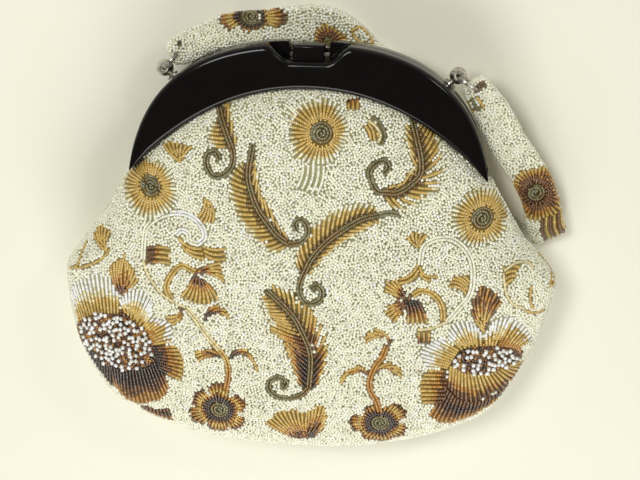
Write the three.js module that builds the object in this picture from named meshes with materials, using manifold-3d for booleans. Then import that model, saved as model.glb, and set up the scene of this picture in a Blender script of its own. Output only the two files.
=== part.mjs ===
// Beaded handbag with a black hinged frame, a lift clasp and a padded strap.
// Millimetres. The bag lies on its back: +X across the bag, +Y towards the clasp, +Z out of its front.
// The origin is the middle of the flat patch that the back of the pouch rests on.
import * as THREE from 'three';
import { mergeVertices } from 'three/addons/utils/BufferGeometryUtils.js';
import Module from 'manifold-3d';

const wasm = await Module();
wasm.setup();

const FIT_GAP = 0.3;

// Pouch: its seam is the widest line, the front swells above it and the back swells below it.
// TIP_FADE is the share of the arch where its wide mouth starts to close, REST_PATCH the flat share of the back.
const POUCH_HALF_WIDTH = 125;
const POUCH_BELOW_TIPS = 148.5;
const POUCH_CENTRE_BELOW_TIPS = 57;
const POUCH_WALL = 2;
const FRONT_SWELL = 22;
const BACK_SWELL = 28;
const SEAM_WIDTH = 0.8;
const SEAM_THICKNESS = 1.2;
const RIM_TUCK = 4;
const MOUTH_GAP = 6.2;
const TIP_FADE = 0.84;
const REST_PATCH = 0.38;
const SWELL_POWERS = { front: { low: 2.6, high: 1.7 }, back: { low: 2.3, high: 1.7 } };

// Frame: two arched halves that meet on the seam's level.
const FRAME_HALF_WIDTH = 90;
const FRAME_RISE = 84;
const FRAME_DEPTH = 20;
const TIP_ABOVE_BASE = 19;
const RAIL_WIDTH = 22.2;
const TIP_WIDTH = 5;
const EDGE_RADIUS = 3;
const LIP_RADIUS = 3;
const GROOVE_DEPTH = 5;
const GROOVE_HEIGHT = 5.4;
const OUTER_SQUARENESS = 2.5;
const ARCH_SQUARENESS = 2.9;
const INNER_SPREAD = 0.645;
const FULL_SECTION_WIDTH = 12;

// Clasp: a lever in a notch at the top of both halves, hooked into the front half.
const NOTCH_FLOOR_WIDTH = 17.6;
const NOTCH_RAMP = 8;
const NOTCH_DEPTH = 8.3;
const CLASP_WIDTH = 15.4;
const CLASP_REACH = 13.1;
const CLASP_BARREL_RADIUS = 3;
const CLASP_TOP_RADIUS = 1.7;
const CLASP_CORNER_RADIUS = 5;
const HOOK_LENGTH = 2.4;
const HOOK_DROP = 1.1;
const CLASP_PIN_RADIUS = 1.2;
const CLASP_PIN_SEAT = 5.6;

// Hinges at the two tips of the frame.
const EAR_WIDTH = 2.2;
const EAR_HEIGHT = 5;
const HINGE_PIN_RADIUS = 1;
const HINGE_REACH = 2.6;

// Handle fittings: a drilled ball on a post, and a ring through the ball and the strap's end.
const STUD_ANGLE = 45.1;
const BALL_RADIUS = 4.3;
const BALL_BORE_RADIUS = 2.1;
const BALL_LIFT = 6.2;
const COLLAR_RADIUS = 3.2;
const COLLAR_THICKNESS = 1.2;
const POST_RADIUS = 1.6;
const SHANK_LENGTH = 5;
const SHANK_RADIUS = 1;
const RING_RADIUS = 6.2;
const RING_WIRE_RADIUS = 0.75;
const RING_PULL = 0.6;
const LEFT_RING_ANGLE = 49;
const RIGHT_RING_ANGLE = -33;

// Strap: a padded band that leaves the left ring, passes behind the bag and folds back to the right ring.
const STRAP_WIDTH = 17;
const STRAP_THICKNESS = 5;
const STRAP_HOLE_RADIUS = 1.9;
const STRAP_END = 4;
const FOLD_RADIUS = 4.5;

// What follows from the sizes above.
const SEAM_HEIGHT = BACK_SWELL;
const TIP_HEIGHT = POUCH_CENTRE_BELOW_TIPS;
const RIM_DROP = 2 * FIT_GAP;
const RIM_TIP = TIP_HEIGHT - RIM_DROP;
const FRAME_BASE = TIP_HEIGHT - TIP_ABOVE_BASE;
const FRAME_TOP = FRAME_BASE + FRAME_RISE;
const ARCH_TOP = FRAME_TOP - RAIL_WIDTH;
const HALF_THICKNESS = (FRAME_DEPTH - FIT_GAP) / 2;
const UNDER_FRAME = SEAM_HEIGHT - FRAME_DEPTH / 2;
const BACK_HALF_MIDDLE = UNDER_FRAME + HALF_THICKNESS / 2;
const TIP_ANGLE = Math.acos((TIP_ABOVE_BASE / FRAME_RISE) ** (OUTER_SQUARENESS / 2));
const TIP_OUTER = FRAME_HALF_WIDTH * Math.sin(TIP_ANGLE) ** (2 / OUTER_SQUARENESS);
const TIP_INNER = TIP_OUTER - TIP_WIDTH;
const NOTCH_FLOOR = FRAME_TOP - NOTCH_DEPTH;
const CLASP_PIVOT = { y: NOTCH_FLOOR + FIT_GAP + CLASP_BARREL_RADIUS, z: BACK_HALF_MIDDLE };

// Half widths of the pouch's seam as shares of POUCH_HALF_WIDTH, down shares of POUCH_BELOW_TIPS.
const POUCH_SIDES = [
  { down: 0.0, left: 0.722, right: 0.72 },
  { down: 0.125, left: 0.803, right: 0.806 },
  { down: 0.21, left: 0.872, right: 0.868 },
  { down: 0.29, left: 0.945, right: 0.965 },
  { down: 0.355, left: 0.994, right: 1.0 },
  { down: 0.42, left: 0.996, right: 0.985 },
  { down: 0.52, left: 0.985, right: 0.953 },
  { down: 0.63, left: 0.957, right: 0.9 },
  { down: 0.73, left: 0.905, right: 0.842 },
  { down: 0.825, left: 0.828, right: 0.765 },
  { down: 0.9, left: 0.69, right: 0.62 },
  { down: 0.956, left: 0.51, right: 0.43 },
  { down: 0.99, left: 0.27, right: 0.22 },
];

// Rings between the seam, 0, and the middle of the pouch, 1. The back's shell ends at its flat patch.
const SHELL_RINGS = {
  front: [0, 0.014, 0.04, 0.085, 0.15, 0.23, 0.34, 0.48, 0.66, 0.84],
  back: [0, 0.014, 0.04, 0.085, 0.15, 0.23, 0.34, 0.47, 0.62],
};
const CAVITY_RINGS = { front: [0, 0.04, 0.11, 0.22, 0.4, 0.7], back: [0, 0.04, 0.11, 0.22, 0.38, 0.62] };
const MOUTH_REACH = 1.5;
const CAVITY_STEP = 0.5;

// Box pleats under the frame: at is a share of the arch's half width, the rest shares of POUCH_BELOW_TIPS.
const PLEATS = [
  { at: -0.228, deep: 0.02, half: 0.024, long: 0.13 },
  { at: 0.25, deep: 0.017, half: 0.022, long: 0.11 },
];

// Strap route. Beside the frame, at is a share of the way from the clasp to a tip; beside the pouch it is a
// share of POUCH_BELOW_TIPS. out is a share of STRAP_WIDTH, lift of UNDER_FRAME, lean in degrees, 0 beads up.
const STRAP_BEHIND = [
  { beside: 'frame', at: -0.378, out: 0.43, lift: 0.55, lean: -50, width: 0.95 },
  { beside: 'frame', at: -0.25, out: 0.33, lift: 0.26, lean: -30, width: 1 },
  { beside: 'frame', at: -0.138, out: 0.33, lift: 0.17, lean: -15, width: 1 },
  { beside: 'frame', at: -0.044, out: 0.33, lift: 0.09, lean: -5, width: 1 },
  { beside: 'frame', at: 0.023, out: 0.24, lift: 0.04, lean: 0, width: 1 },
  { beside: 'frame', at: 0.097, out: -0.17, lift: 0.01, lean: 0, width: 1 },
  { beside: 'frame', at: 0.172, out: -0.62, lift: 0, lean: -4, width: 1 },
  { beside: 'frame', at: 0.324, out: -0.76, lift: 0, lean: -36, width: 1 },
  { beside: 'frame', at: 0.509, out: -0.7, lift: 0, lean: -80, width: 1 },
  { beside: 'frame', at: 0.663, out: -0.57, lift: 0, lean: -118, width: 1 },
  { beside: 'frame', at: 0.807, out: -0.41, lift: 0, lean: -152, width: 1 },
  { beside: 'frame', at: 0.931, out: -0.22, lift: 0, lean: -174, width: 1 },
  { beside: 'pouch', at: 0.01, out: 0.05, lift: 0, lean: -180, width: 1 },
  { beside: 'pouch', at: 0.071, out: 0.2, lift: 0, lean: -180, width: 1 },
  { beside: 'pouch', at: 0.125, out: 0.36, lift: 0, lean: -180, width: 1 },
  { beside: 'pouch', at: 0.162, out: 0.56, lift: 0, lean: -180, width: 1 },
  { beside: 'pouch', at: 0.2, out: 0.72, lift: 0, lean: -180, width: 1 },
];
const STRAP_RETURN = [
  { beside: 'pouch', at: 0.1, out: 0.98, lift: 0.53, lean: 0, width: 1 },
  { beside: 'pouch', at: 0.02, out: 1.03, lift: 0.62, lean: 0, width: 1 },
  { beside: 'frame', at: 0.903, out: 0.6, lift: 0.82, lean: 0, width: 1 },
  { beside: 'frame', at: 0.78, out: 0.56, lift: 1.02, lean: 0, width: 0.95 },
];

const MATERIALS = {
  beads: new THREE.MeshStandardMaterial({ color: 0xdcdac4, roughness: 0.35, metalness: 0 }),
  plastic: new THREE.MeshStandardMaterial({ color: 0x0d0c0d, roughness: 0.12, metalness: 0 }),
  metal: new THREE.MeshStandardMaterial({ color: 0xb9b5aa, roughness: 0.25, metalness: 1 }),
};

const group = new THREE.Group();

function addMesh(name, geometry, material) {
  const mesh = new THREE.Mesh(geometry, material);
  mesh.name = name;
  group.add(mesh);
}

function smoothStep(from, to, value) {
  const share = THREE.MathUtils.clamp((value - from) / (to - from), 0, 1);
  return share * share * (3 - 2 * share);
}

// Joins a stack of rings with equal counts into one closed solid, capped by the given flat contour.
function loft(rings, contour) {
  const count = rings[0].length;
  const positions = rings.flat().flatMap((point) => [point.x, point.y, point.z]);
  const index = [];
  for (let ring = 0; ring < rings.length - 1; ring += 1) {
    for (let side = 0; side < count; side += 1) {
      const a = ring * count + side;
      const b = ring * count + ((side + 1) % count);
      index.push(a, b, b + count, a, b + count, a + count);
    }
  }
  const last = (rings.length - 1) * count;
  const clockwise = THREE.ShapeUtils.isClockWise(contour);
  for (const [a, b, c] of THREE.ShapeUtils.triangulateShape(contour, [])) {
    const [second, third] = clockwise ? [c, b] : [b, c];
    index.push(a, third, second, last + a, last + second, last + third);
  }
  const geometry = new THREE.BufferGeometry();
  geometry.setAttribute('position', new THREE.Float32BufferAttribute(positions, 3));
  geometry.setIndex(index);
  return facedOutwards(geometry);
}

function facedOutwards(geometry) {
  const place = geometry.attributes.position;
  const index = geometry.index.array;
  const [a, b, c] = [new THREE.Vector3(), new THREE.Vector3(), new THREE.Vector3()];
  let volume = 0;
  for (let i = 0; i < index.length; i += 3) {
    a.fromBufferAttribute(place, index[i]);
    b.fromBufferAttribute(place, index[i + 1]);
    c.fromBufferAttribute(place, index[i + 2]);
    volume += a.dot(b.cross(c));
  }
  if (volume < 0) {
    for (let i = 0; i < index.length; i += 3) {
      [index[i], index[i + 1]] = [index[i + 1], index[i]];
    }
  }
  return geometry;
}

function toSolid(geometry) {
  const bare = geometry.clone();
  bare.deleteAttribute('normal');
  bare.deleteAttribute('uv');
  const merged = mergeVertices(bare, 1e-4);
  return new wasm.Manifold(new wasm.Mesh({
    numProp: 3,
    vertProperties: new Float32Array(merged.attributes.position.array),
    triVerts: new Uint32Array(merged.index.array),
  }));
}

function toGeometry(solid) {
  const mesh = solid.getMesh();
  const geometry = new THREE.BufferGeometry();
  geometry.setAttribute('position', new THREE.Float32BufferAttribute(mesh.vertProperties, 3));
  geometry.setIndex(Array.from(mesh.triVerts));
  geometry.computeVertexNormals();
  return geometry;
}

function boxSolid(x, y, z) {
  const geometry = new THREE.BoxGeometry(x[1] - x[0], y[1] - y[0], z[1] - z[0]);
  geometry.translate((x[0] + x[1]) / 2, (y[0] + y[1]) / 2, (z[0] + z[1]) / 2);
  return toSolid(geometry);
}

// A rod along the direction from one point to another.
function rodGeometry(from, to, radius, sides) {
  const axis = new THREE.Vector3().subVectors(to, from);
  const geometry = new THREE.CylinderGeometry(radius, radius, axis.length(), sides);
  const turn = new THREE.Quaternion().setFromUnitVectors(new THREE.Vector3(0, 1, 0), axis.clone().normalize());
  geometry.applyQuaternion(turn);
  geometry.translate((from.x + to.x) / 2, (from.y + to.y) / 2, (from.z + to.z) / 2);
  return geometry;
}

// The frame's outline: a squared ellipse outside, and a flatter arch that carries the pouch inside.
function plainOuter(angle) {
  const reach = 2 / OUTER_SQUARENESS;
  const x = FRAME_HALF_WIDTH * Math.sign(angle) * Math.abs(Math.sin(angle)) ** reach;
  return new THREE.Vector2(x, FRAME_BASE + FRAME_RISE * Math.cos(angle) ** reach);
}

function outwardFromFrame(angle) {
  const at = plainOuter(angle);
  const power = OUTER_SQUARENESS - 1;
  const across = Math.sign(at.x) * Math.abs(at.x) ** power / FRAME_HALF_WIDTH ** OUTER_SQUARENESS;
  const along = (at.y - FRAME_BASE) ** power / FRAME_RISE ** OUTER_SQUARENESS;
  return new THREE.Vector2(across, along).normalize();
}

function notchDrop(x) {
  const edge = NOTCH_FLOOR_WIDTH / 2;
  return NOTCH_DEPTH * (1 - smoothStep(edge, edge + NOTCH_RAMP, Math.abs(x)));
}

function archHeight(x) {
  return ARCH_TOP - (ARCH_TOP - TIP_HEIGHT) * Math.abs(x / TIP_INNER) ** ARCH_SQUARENESS;
}

// The pouch's rim follows the arch, tucked under its lip, and comes out just below the tips.
function rimPoint(x) {
  const share = x / TIP_INNER;
  const slope = (ARCH_TOP - TIP_HEIGHT) * ARCH_SQUARENESS / TIP_INNER * Math.abs(share) ** (ARCH_SQUARENESS - 1);
  const outward = new THREE.Vector2(Math.sign(x) * slope, 1).normalize();
  const tuck = RIM_TUCK * (1 - share ** 8);
  return new THREE.Vector2(x, archHeight(x) - RIM_DROP * share ** 8).addScaledVector(outward, tuck);
}

function innerPoint(angle) {
  const x = TIP_INNER * Math.sign(angle) * Math.abs(angle / TIP_ANGLE) ** INNER_SPREAD;
  return new THREE.Vector2(x, archHeight(x));
}

function frameAngles() {
  const notchSteps = 20;
  const armSteps = 17;
  const notchEdge = NOTCH_FLOOR_WIDTH / 2 + NOTCH_RAMP;
  const angles = [];
  for (let step = 0; step <= notchSteps; step += 1) {
    const x = notchEdge * (2 * step / notchSteps - 1);
    angles.push(Math.sign(x) * Math.asin(Math.abs(x / FRAME_HALF_WIDTH) ** (OUTER_SQUARENESS / 2)));
  }
  const edgeAngle = angles[notchSteps];
  for (let step = 1; step <= armSteps; step += 1) {
    const angle = THREE.MathUtils.lerp(edgeAngle, TIP_ANGLE, step / armSteps);
    angles.push(angle);
    angles.unshift(-angle);
  }
  return angles;
}

// Section of one half: across from the inner edge, up from the face where the halves meet.
function railSection(width) {
  const scale = Math.min(1, width / FULL_SECTION_WIDTH);
  const groove = GROOVE_DEPTH * scale;
  const lip = LIP_RADIUS * scale;
  const edge = EDGE_RADIUS * scale;
  const section = [[groove, 0], [width, 0]];
  for (const turn of [0, Math.PI / 6, Math.PI / 3, Math.PI / 2]) {
    section.push([width - edge * (1 - Math.cos(turn)), HALF_THICKNESS - edge * (1 - Math.sin(turn))]);
  }
  for (const turn of [0, Math.PI / 4, Math.PI / 2]) {
    section.push([lip * (1 - Math.sin(turn)), HALF_THICKNESS - lip * (1 - Math.cos(turn))]);
  }
  section.push([0, GROOVE_HEIGHT], [groove, GROOVE_HEIGHT]);
  return section;
}

function railSolid(side) {
  const rings = frameAngles().map((angle) => {
    const inner = innerPoint(angle);
    const outer = plainOuter(angle);
    outer.y -= notchDrop(outer.x);
    const across = outer.clone().sub(inner);
    const width = across.length();
    return railSection(width).map(([along, up]) => {
      const point = inner.clone().addScaledVector(across, along / width);
      return new THREE.Vector3(point.x, point.y, SEAM_HEIGHT + side * (FIT_GAP / 2 + up));
    });
  });
  const contour = railSection(RAIL_WIDTH).map(([along, up]) => new THREE.Vector2(along, up));
  return toSolid(loft(rings, contour));
}

// Hinge ears: the front half's is inside, the back half's outside, and each half makes room for the other's.
function withEars(rail, side) {
  const split = TIP_INNER + EAR_WIDTH + FIT_GAP;
  const low = TIP_HEIGHT + 0.1;
  const high = low + EAR_HEIGHT;
  const near = SEAM_HEIGHT - side * HINGE_REACH;
  const far = SEAM_HEIGHT + side * (GROOVE_HEIGHT + 1);
  const roomFar = SEAM_HEIGHT + side * (HINGE_REACH + FIT_GAP);
  const own = side > 0 ? [TIP_INNER + 0.1, split - FIT_GAP / 2] : [split + FIT_GAP / 2, TIP_OUTER - 0.2];
  const other = side > 0 ? [split - FIT_GAP / 2, TIP_OUTER + 2] : [TIP_INNER - 1, split + FIT_GAP / 2];
  let solid = rail;
  for (const hand of [-1, 1]) {
    const across = (range) => range.map((x) => hand * x).sort((a, b) => a - b);
    const along = (a, b) => [Math.min(a, b), Math.max(a, b)];
    solid = solid.subtract(boxSolid(across(other), [low - 1, high + FIT_GAP], along(SEAM_HEIGHT, roomFar)));
    solid = solid.add(boxSolid(across(own), [low, high], along(near, far)));
    const bore = rodGeometry(hingePoint(hand, TIP_INNER - 1), hingePoint(hand, TIP_OUTER + 1),
      HINGE_PIN_RADIUS + FIT_GAP, 12);
    solid = solid.subtract(toSolid(bore));
  }
  return solid;
}

function hingePoint(hand, x) {
  return new THREE.Vector3(hand * x, TIP_HEIGHT + EAR_HEIGHT / 2, SEAM_HEIGHT);
}

function claspPoint(x) {
  return new THREE.Vector3(x, CLASP_PIVOT.y, CLASP_PIVOT.z);
}

function claspPinReach() {
  return NOTCH_FLOOR_WIDTH / 2 + CLASP_PIN_SEAT;
}

function frameFront() {
  const front = CLASP_PIVOT.z + CLASP_REACH;
  const pocket = boxSolid(
    [-CLASP_WIDTH / 2 - FIT_GAP, CLASP_WIDTH / 2 + FIT_GAP],
    [NOTCH_FLOOR - HOOK_DROP - FIT_GAP, NOTCH_FLOOR + 1],
    [front - HOOK_LENGTH - 2 * FIT_GAP, front + FIT_GAP],
  );
  return toGeometry(withEars(railSolid(1), 1).subtract(pocket));
}

function frameBack() {
  let solid = withEars(railSolid(-1), -1);
  const reach = claspPinReach() + FIT_GAP;
  const bore = rodGeometry(claspPoint(-reach), claspPoint(reach), CLASP_PIN_RADIUS + FIT_GAP, 12);
  solid = solid.subtract(toSolid(bore));
  for (const hand of [-1, 1]) {
    const { seat, outward } = studSeat(hand);
    const depth = SHANK_LENGTH + FIT_GAP;
    const from = seat.clone().addScaledVector(outward, 1);
    const to = seat.clone().addScaledVector(outward, -depth);
    solid = solid.subtract(toSolid(rodGeometry(from, to, SHANK_RADIUS + FIT_GAP, 8)));
  }
  return toGeometry(solid);
}

// Clasp lever: a round barrel on the pin, a flat top, and a hook under the front edge.
function claspLever() {
  const { y, z } = CLASP_PIVOT;
  const barrel = CLASP_BARREL_RADIUS;
  const top = FRAME_TOP - 2 * FIT_GAP;
  const front = z + CLASP_REACH;
  const round = CLASP_TOP_RADIUS;
  const sideView = new THREE.Shape();
  sideView.moveTo(-z, y - barrel);
  sideView.lineTo(-(front - HOOK_LENGTH), y - barrel);
  sideView.lineTo(-(front - HOOK_LENGTH), NOTCH_FLOOR - HOOK_DROP);
  sideView.lineTo(-(front - FIT_GAP), NOTCH_FLOOR - HOOK_DROP);
  sideView.lineTo(-front, top - round);
  sideView.quadraticCurveTo(-front, top, -(front - round), top);
  sideView.lineTo(-(z + round / 2), top);
  sideView.quadraticCurveTo(-(z - barrel * 0.8), top - round / 2, -(z - barrel), y);
  sideView.absarc(-z, y, barrel, 0, -Math.PI / 2, true);
  const body = new THREE.ExtrudeGeometry(sideView, { depth: CLASP_WIDTH, bevelEnabled: false, curveSegments: 4 });
  body.rotateY(Math.PI / 2);
  body.translate(-CLASP_WIDTH / 2, 0, 0);

  const half = CLASP_WIDTH / 2;
  const back = z - barrel - 1;
  const corner = CLASP_CORNER_RADIUS;
  const planView = new THREE.Shape();
  planView.moveTo(-half, front - round);
  planView.lineTo(-half, back + corner);
  planView.absarc(-half + corner, back + corner, corner, Math.PI, 1.5 * Math.PI, false);
  planView.absarc(half - corner, back + corner, corner, 1.5 * Math.PI, 2 * Math.PI, false);
  planView.lineTo(half, front - round);
  planView.quadraticCurveTo(half, front + 0.1, half - round, front + 0.1);
  planView.lineTo(-half + round, front + 0.1);
  planView.quadraticCurveTo(-half, front + 0.1, -half, front - round);
  const plan = new THREE.ExtrudeGeometry(planView, { depth: FRAME_RISE, bevelEnabled: false, curveSegments: 4 });
  plan.rotateX(Math.PI / 2);
  plan.translate(0, FRAME_TOP + 1, 0);

  const bore = rodGeometry(claspPoint(-half - 1), claspPoint(half + 1), CLASP_PIN_RADIUS + FIT_GAP, 12);
  return toGeometry(toSolid(body).intersect(toSolid(plan)).subtract(toSolid(bore)));
}

// Where a stud's collar sits on the outer wall of the back half.
function studSeat(hand) {
  const angle = hand * THREE.MathUtils.degToRad(STUD_ANGLE);
  const at = plainOuter(angle);
  const normal = outwardFromFrame(angle);
  return {
    seat: new THREE.Vector3(at.x, at.y, BACK_HALF_MIDDLE),
    outward: new THREE.Vector3(normal.x, normal.y, 0),
  };
}

function ballCentre(hand) {
  const { seat, outward } = studSeat(hand);
  return seat.addScaledVector(outward, BALL_LIFT);
}

// A drilled ball whose bore runs upwards, on a post with a collar and a shank, all one piece.
function stud(hand) {
  const { seat, outward } = studSeat(hand);
  const centre = ballCentre(hand);
  const steps = 6;
  const cut = Math.asin(BALL_BORE_RADIUS / BALL_RADIUS);
  const profile = [];
  for (let step = 0; step <= steps; step += 1) {
    const turn = cut + (Math.PI - 2 * cut) * step / steps;
    profile.push(new THREE.Vector2(BALL_RADIUS * Math.sin(turn), -BALL_RADIUS * Math.cos(turn)));
  }
  profile.push(profile[0].clone());
  const ball = new THREE.LatheGeometry(profile, 12);
  ball.rotateX(Math.PI / 2);
  ball.translate(centre.x, centre.y, centre.z);

  const along = (distance) => seat.clone().addScaledVector(outward, distance);
  const ballFace = BALL_LIFT - (BALL_RADIUS + BALL_BORE_RADIUS) / 2;
  const collarTop = FIT_GAP + COLLAR_THICKNESS;
  const collar = rodGeometry(along(FIT_GAP), along(collarTop), COLLAR_RADIUS, 12);
  const post = rodGeometry(along(collarTop - 0.4), along(ballFace), POST_RADIUS, 8);
  const shank = rodGeometry(along(-SHANK_LENGTH), along(FIT_GAP + 0.4), SHANK_RADIUS, 8);
  return toGeometry([collar, post, shank].reduce((solid, piece) => solid.add(toSolid(piece)), toSolid(ball)));
}

function ringDirection(hand) {
  const angle = THREE.MathUtils.degToRad(hand < 0 ? LEFT_RING_ANGLE : RIGHT_RING_ANGLE);
  return new THREE.Vector3(Math.cos(angle), Math.sin(angle), 0);
}

// The ring stands upright, from the bore of its ball to the hole in the strap's end.
function ring(hand) {
  const geometry = new THREE.TorusGeometry(RING_RADIUS, RING_WIRE_RADIUS, 6, 20);
  const along = ringDirection(hand);
  const up = new THREE.Vector3(0, 0, 1);
  geometry.applyMatrix4(new THREE.Matrix4().makeBasis(along, up, along.clone().cross(up)));
  const centre = ringCentre(hand);
  geometry.translate(centre.x, centre.y, centre.z);
  return geometry;
}

// The ring's wire bends through the ball, so its middle is pulled back to clear both ends of the bore.
function ringCentre(hand) {
  return ballCentre(hand).addScaledVector(ringDirection(hand), RING_RADIUS - RING_PULL);
}

function strapHole(hand) {
  return ringCentre(hand).addScaledVector(ringDirection(hand), RING_RADIUS - RING_PULL / 2);
}

// The pouch's seam, from the left tip over the arch, down the right side and back up the left side.
function seamLine() {
  const archSteps = 36;
  const sideSteps = 40;
  const line = [];
  for (let step = 0; step <= archSteps; step += 1) {
    const share = 2 * step / archSteps - 1;
    const { x, y } = rimPoint(TIP_INNER * (0.6 * share + 0.4 * Math.sin(share * Math.PI / 2)));
    line.push({ x, y, arch: true });
  }
  const curve = new THREE.CatmullRomCurve3(sidePoints(), false, 'centripetal');
  for (const point of curve.getSpacedPoints(sideSteps)) {
    line.push({ x: point.x, y: point.y, arch: false });
  }
  return line;
}

function sidePoints() {
  const place = (share, row) => new THREE.Vector3(
    share * POUCH_HALF_WIDTH, RIM_TIP - row.down * POUCH_BELOW_TIPS, 0);
  const right = POUCH_SIDES.map((row) => place(row.right, row));
  const left = POUCH_SIDES.map((row) => place(-row.left, row)).reverse();
  const bottom = new THREE.Vector3(0, RIM_TIP - POUCH_BELOW_TIPS, 0);
  return [...right, bottom, ...left];
}

function pleatDepth(x, inside) {
  return PLEATS.reduce((depth, pleat) => {
    const away = (x - pleat.at * TIP_INNER) / (pleat.half * POUCH_BELOW_TIPS);
    const fade = smoothStep(pleat.long * POUCH_BELOW_TIPS, 0, inside);
    return depth + pleat.deep * POUCH_BELOW_TIPS * fade * Math.exp(-away * away);
  }, 0);
}

// One radial line of the pouch, from a point of the seam to the middle.
function pouchSpoke(point) {
  const radius = Math.hypot(point.x, point.y);
  const side = Math.abs(point.x) / TIP_INNER;
  const arch = point.arch ? 1 - smoothStep(TIP_FADE, 1, side) : 0;
  const flat = THREE.MathUtils.lerp(SEAM_WIDTH, RIM_TUCK + 0.7, arch);
  const edge = THREE.MathUtils.lerp(SEAM_THICKNESS / 2, MOUTH_GAP / 2 + POUCH_WALL, arch);
  const upward = smoothStep(-0.1, 1, point.y / radius);
  const power = (face) => THREE.MathUtils.lerp(SWELL_POWERS[face].low, SWELL_POWERS[face].high, upward);
  const [frontPower, backPower] = [power('front'), power('back')];
  const swell = (inside, reach, power) => {
    const share = THREE.MathUtils.clamp((inside - flat) / (reach - flat), 0, 1);
    return (1 - (1 - share) ** power) ** (1 / power);
  };
  return {
    radius,
    flat,
    arch,
    at: (inside) => ({ x: point.x * (1 - inside / radius), y: point.y * (1 - inside / radius) }),
    front: (inside) => {
      const crease = inside > flat ? pleatDepth(point.x, inside) * arch * smoothStep(0, 4, inside - flat) : 0;
      return SEAM_HEIGHT + edge + (FRONT_SWELL - edge) * swell(inside, radius, frontPower) - crease;
    },
    back: (inside) => SEAM_HEIGHT - edge - (BACK_SWELL - edge) * swell(inside, radius * (1 - REST_PATCH), backPower),
  };
}

function shellRings(spokes, face, order) {
  const shares = SHELL_RINGS[face];
  const rings = shares.map((share, ring) => spokes.map((spoke) => {
    const inside = ring === 0 ? 0 : spoke.flat + (share - shares[1]) * (spoke.radius - spoke.flat);
    const { x, y } = spoke.at(inside);
    return new THREE.Vector3(x, y, spoke[face](inside));
  }));
  return order > 0 ? rings : rings.reverse();
}

function cavityRings(spokes, face, order) {
  const inward = face === 'front' ? -POUCH_WALL : POUCH_WALL;
  const shares = CAVITY_RINGS[face];
  const rings = shares.map((share, ring) => spokes.map((spoke) => {
    const mouth = spoke.arch > 0.5 ? -MOUTH_REACH : SEAM_WIDTH + POUCH_WALL;
    const start = Math.max(spoke.flat, mouth) + CAVITY_STEP;
    const inside = ring === 0 ? mouth : start + (share - shares[1]) * (spoke.radius - start);
    const { x, y } = spoke.at(inside);
    return new THREE.Vector3(x, y, spoke[face](inside) + inward);
  }));
  return order > 0 ? rings : rings.reverse();
}

function pouch() {
  const spokes = seamLine().map(pouchSpoke);
  const contour = seamLine().map((point) => new THREE.Vector2(point.x, point.y));
  const shell = loft([...shellRings(spokes, 'front', -1), ...shellRings(spokes, 'back', 1)], contour);
  const cavity = loft([...cavityRings(spokes, 'front', -1), ...cavityRings(spokes, 'back', 1)], contour);
  return toGeometry(toSolid(shell).subtract(toSolid(cavity)));
}

// Half the height of a strap section that leans by the given angle.
function strapHalfHeight(lean, width) {
  const flat = (STRAP_WIDTH * width - STRAP_THICKNESS) / 2;
  return flat * Math.abs(Math.sin(THREE.MathUtils.degToRad(lean))) + STRAP_THICKNESS / 2;
}

function strapPlace(row) {
  let place;
  if (row.beside === 'frame') {
    const angle = row.at * TIP_ANGLE;
    place = plainOuter(angle).addScaledVector(outwardFromFrame(angle), row.out * STRAP_WIDTH);
  } else {
    const above = POUCH_SIDES.findLast((side) => side.down <= row.at);
    const below = POUCH_SIDES.find((side) => side.down > row.at);
    const share = (row.at - above.down) / (below.down - above.down);
    const x = POUCH_HALF_WIDTH * THREE.MathUtils.lerp(above.right, below.right, share);
    place = new THREE.Vector2(x + row.out * STRAP_WIDTH, RIM_TIP - row.at * POUCH_BELOW_TIPS);
  }
  const height = row.lift * UNDER_FRAME + strapHalfHeight(row.lean, row.width);
  return { centre: new THREE.Vector3(place.x, place.y, height), lean: row.lean, width: row.width };
}

// Two stations for a strap's end: the hole that the ring passes through, and the tip beyond it.
function strapEnd(hand, towards) {
  const hole = strapHole(hand);
  const back = new THREE.Vector3().subVectors(hole, towards).setZ(0).setLength(STRAP_END);
  return [
    { centre: hole.clone().add(back), lean: 0, width: 0.6 },
    { centre: hole, lean: 0, width: 0.75 },
  ];
}

// Sections along a smooth line through the stations: a centre, a wide direction and a share of the width.
function sectionsThrough(stations, perStation) {
  const line = new THREE.CatmullRomCurve3(stations.map((station) => station.centre), false, 'centripetal');
  const shape = new THREE.CatmullRomCurve3(
    stations.map((station) => new THREE.Vector3(station.lean, station.width * 10, 0)), false, 'catmullrom', 0.3);
  const steps = (stations.length - 1) * perStation;
  return Array.from({ length: steps + 1 }, (_, step) => {
    const forward = line.getTangent(step / steps);
    const { x: lean, y: width } = shape.getPoint(step / steps);
    const level = new THREE.Vector3(-forward.y, forward.x, 0).normalize();
    const wide = level.applyAxisAngle(forward, THREE.MathUtils.degToRad(lean));
    return { centre: line.getPoint(step / steps), forward, wide, width: width / 10 };
  });
}

// The turn where the strap folds back over itself.
function foldSections(from, onwards) {
  const steps = 8;
  const before = Math.atan2(from.forward.y, from.forward.x);
  const after = Math.atan2(-onwards.y, -onwards.x);
  const middle = (before + after) / 2;
  return Array.from({ length: steps - 1 }, (_, step) => {
    const share = (step + 1) / steps;
    const turn = Math.PI * share;
    const heading = THREE.MathUtils.lerp(before, after, share);
    const out = FOLD_RADIUS * Math.sin(turn);
    const centre = from.centre.clone().add(new THREE.Vector3(
      out * Math.cos(middle), out * Math.sin(middle), FOLD_RADIUS * (1 - Math.cos(turn))));
    const ahead = new THREE.Vector3(Math.cos(heading), Math.sin(heading), 0);
    const forward = ahead.multiplyScalar(Math.cos(turn)).setZ(Math.sin(turn));
    const wide = new THREE.Vector3(Math.sin(heading), -Math.cos(heading), 0);
    return { centre, forward, wide, width: 1 };
  });
}

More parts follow.
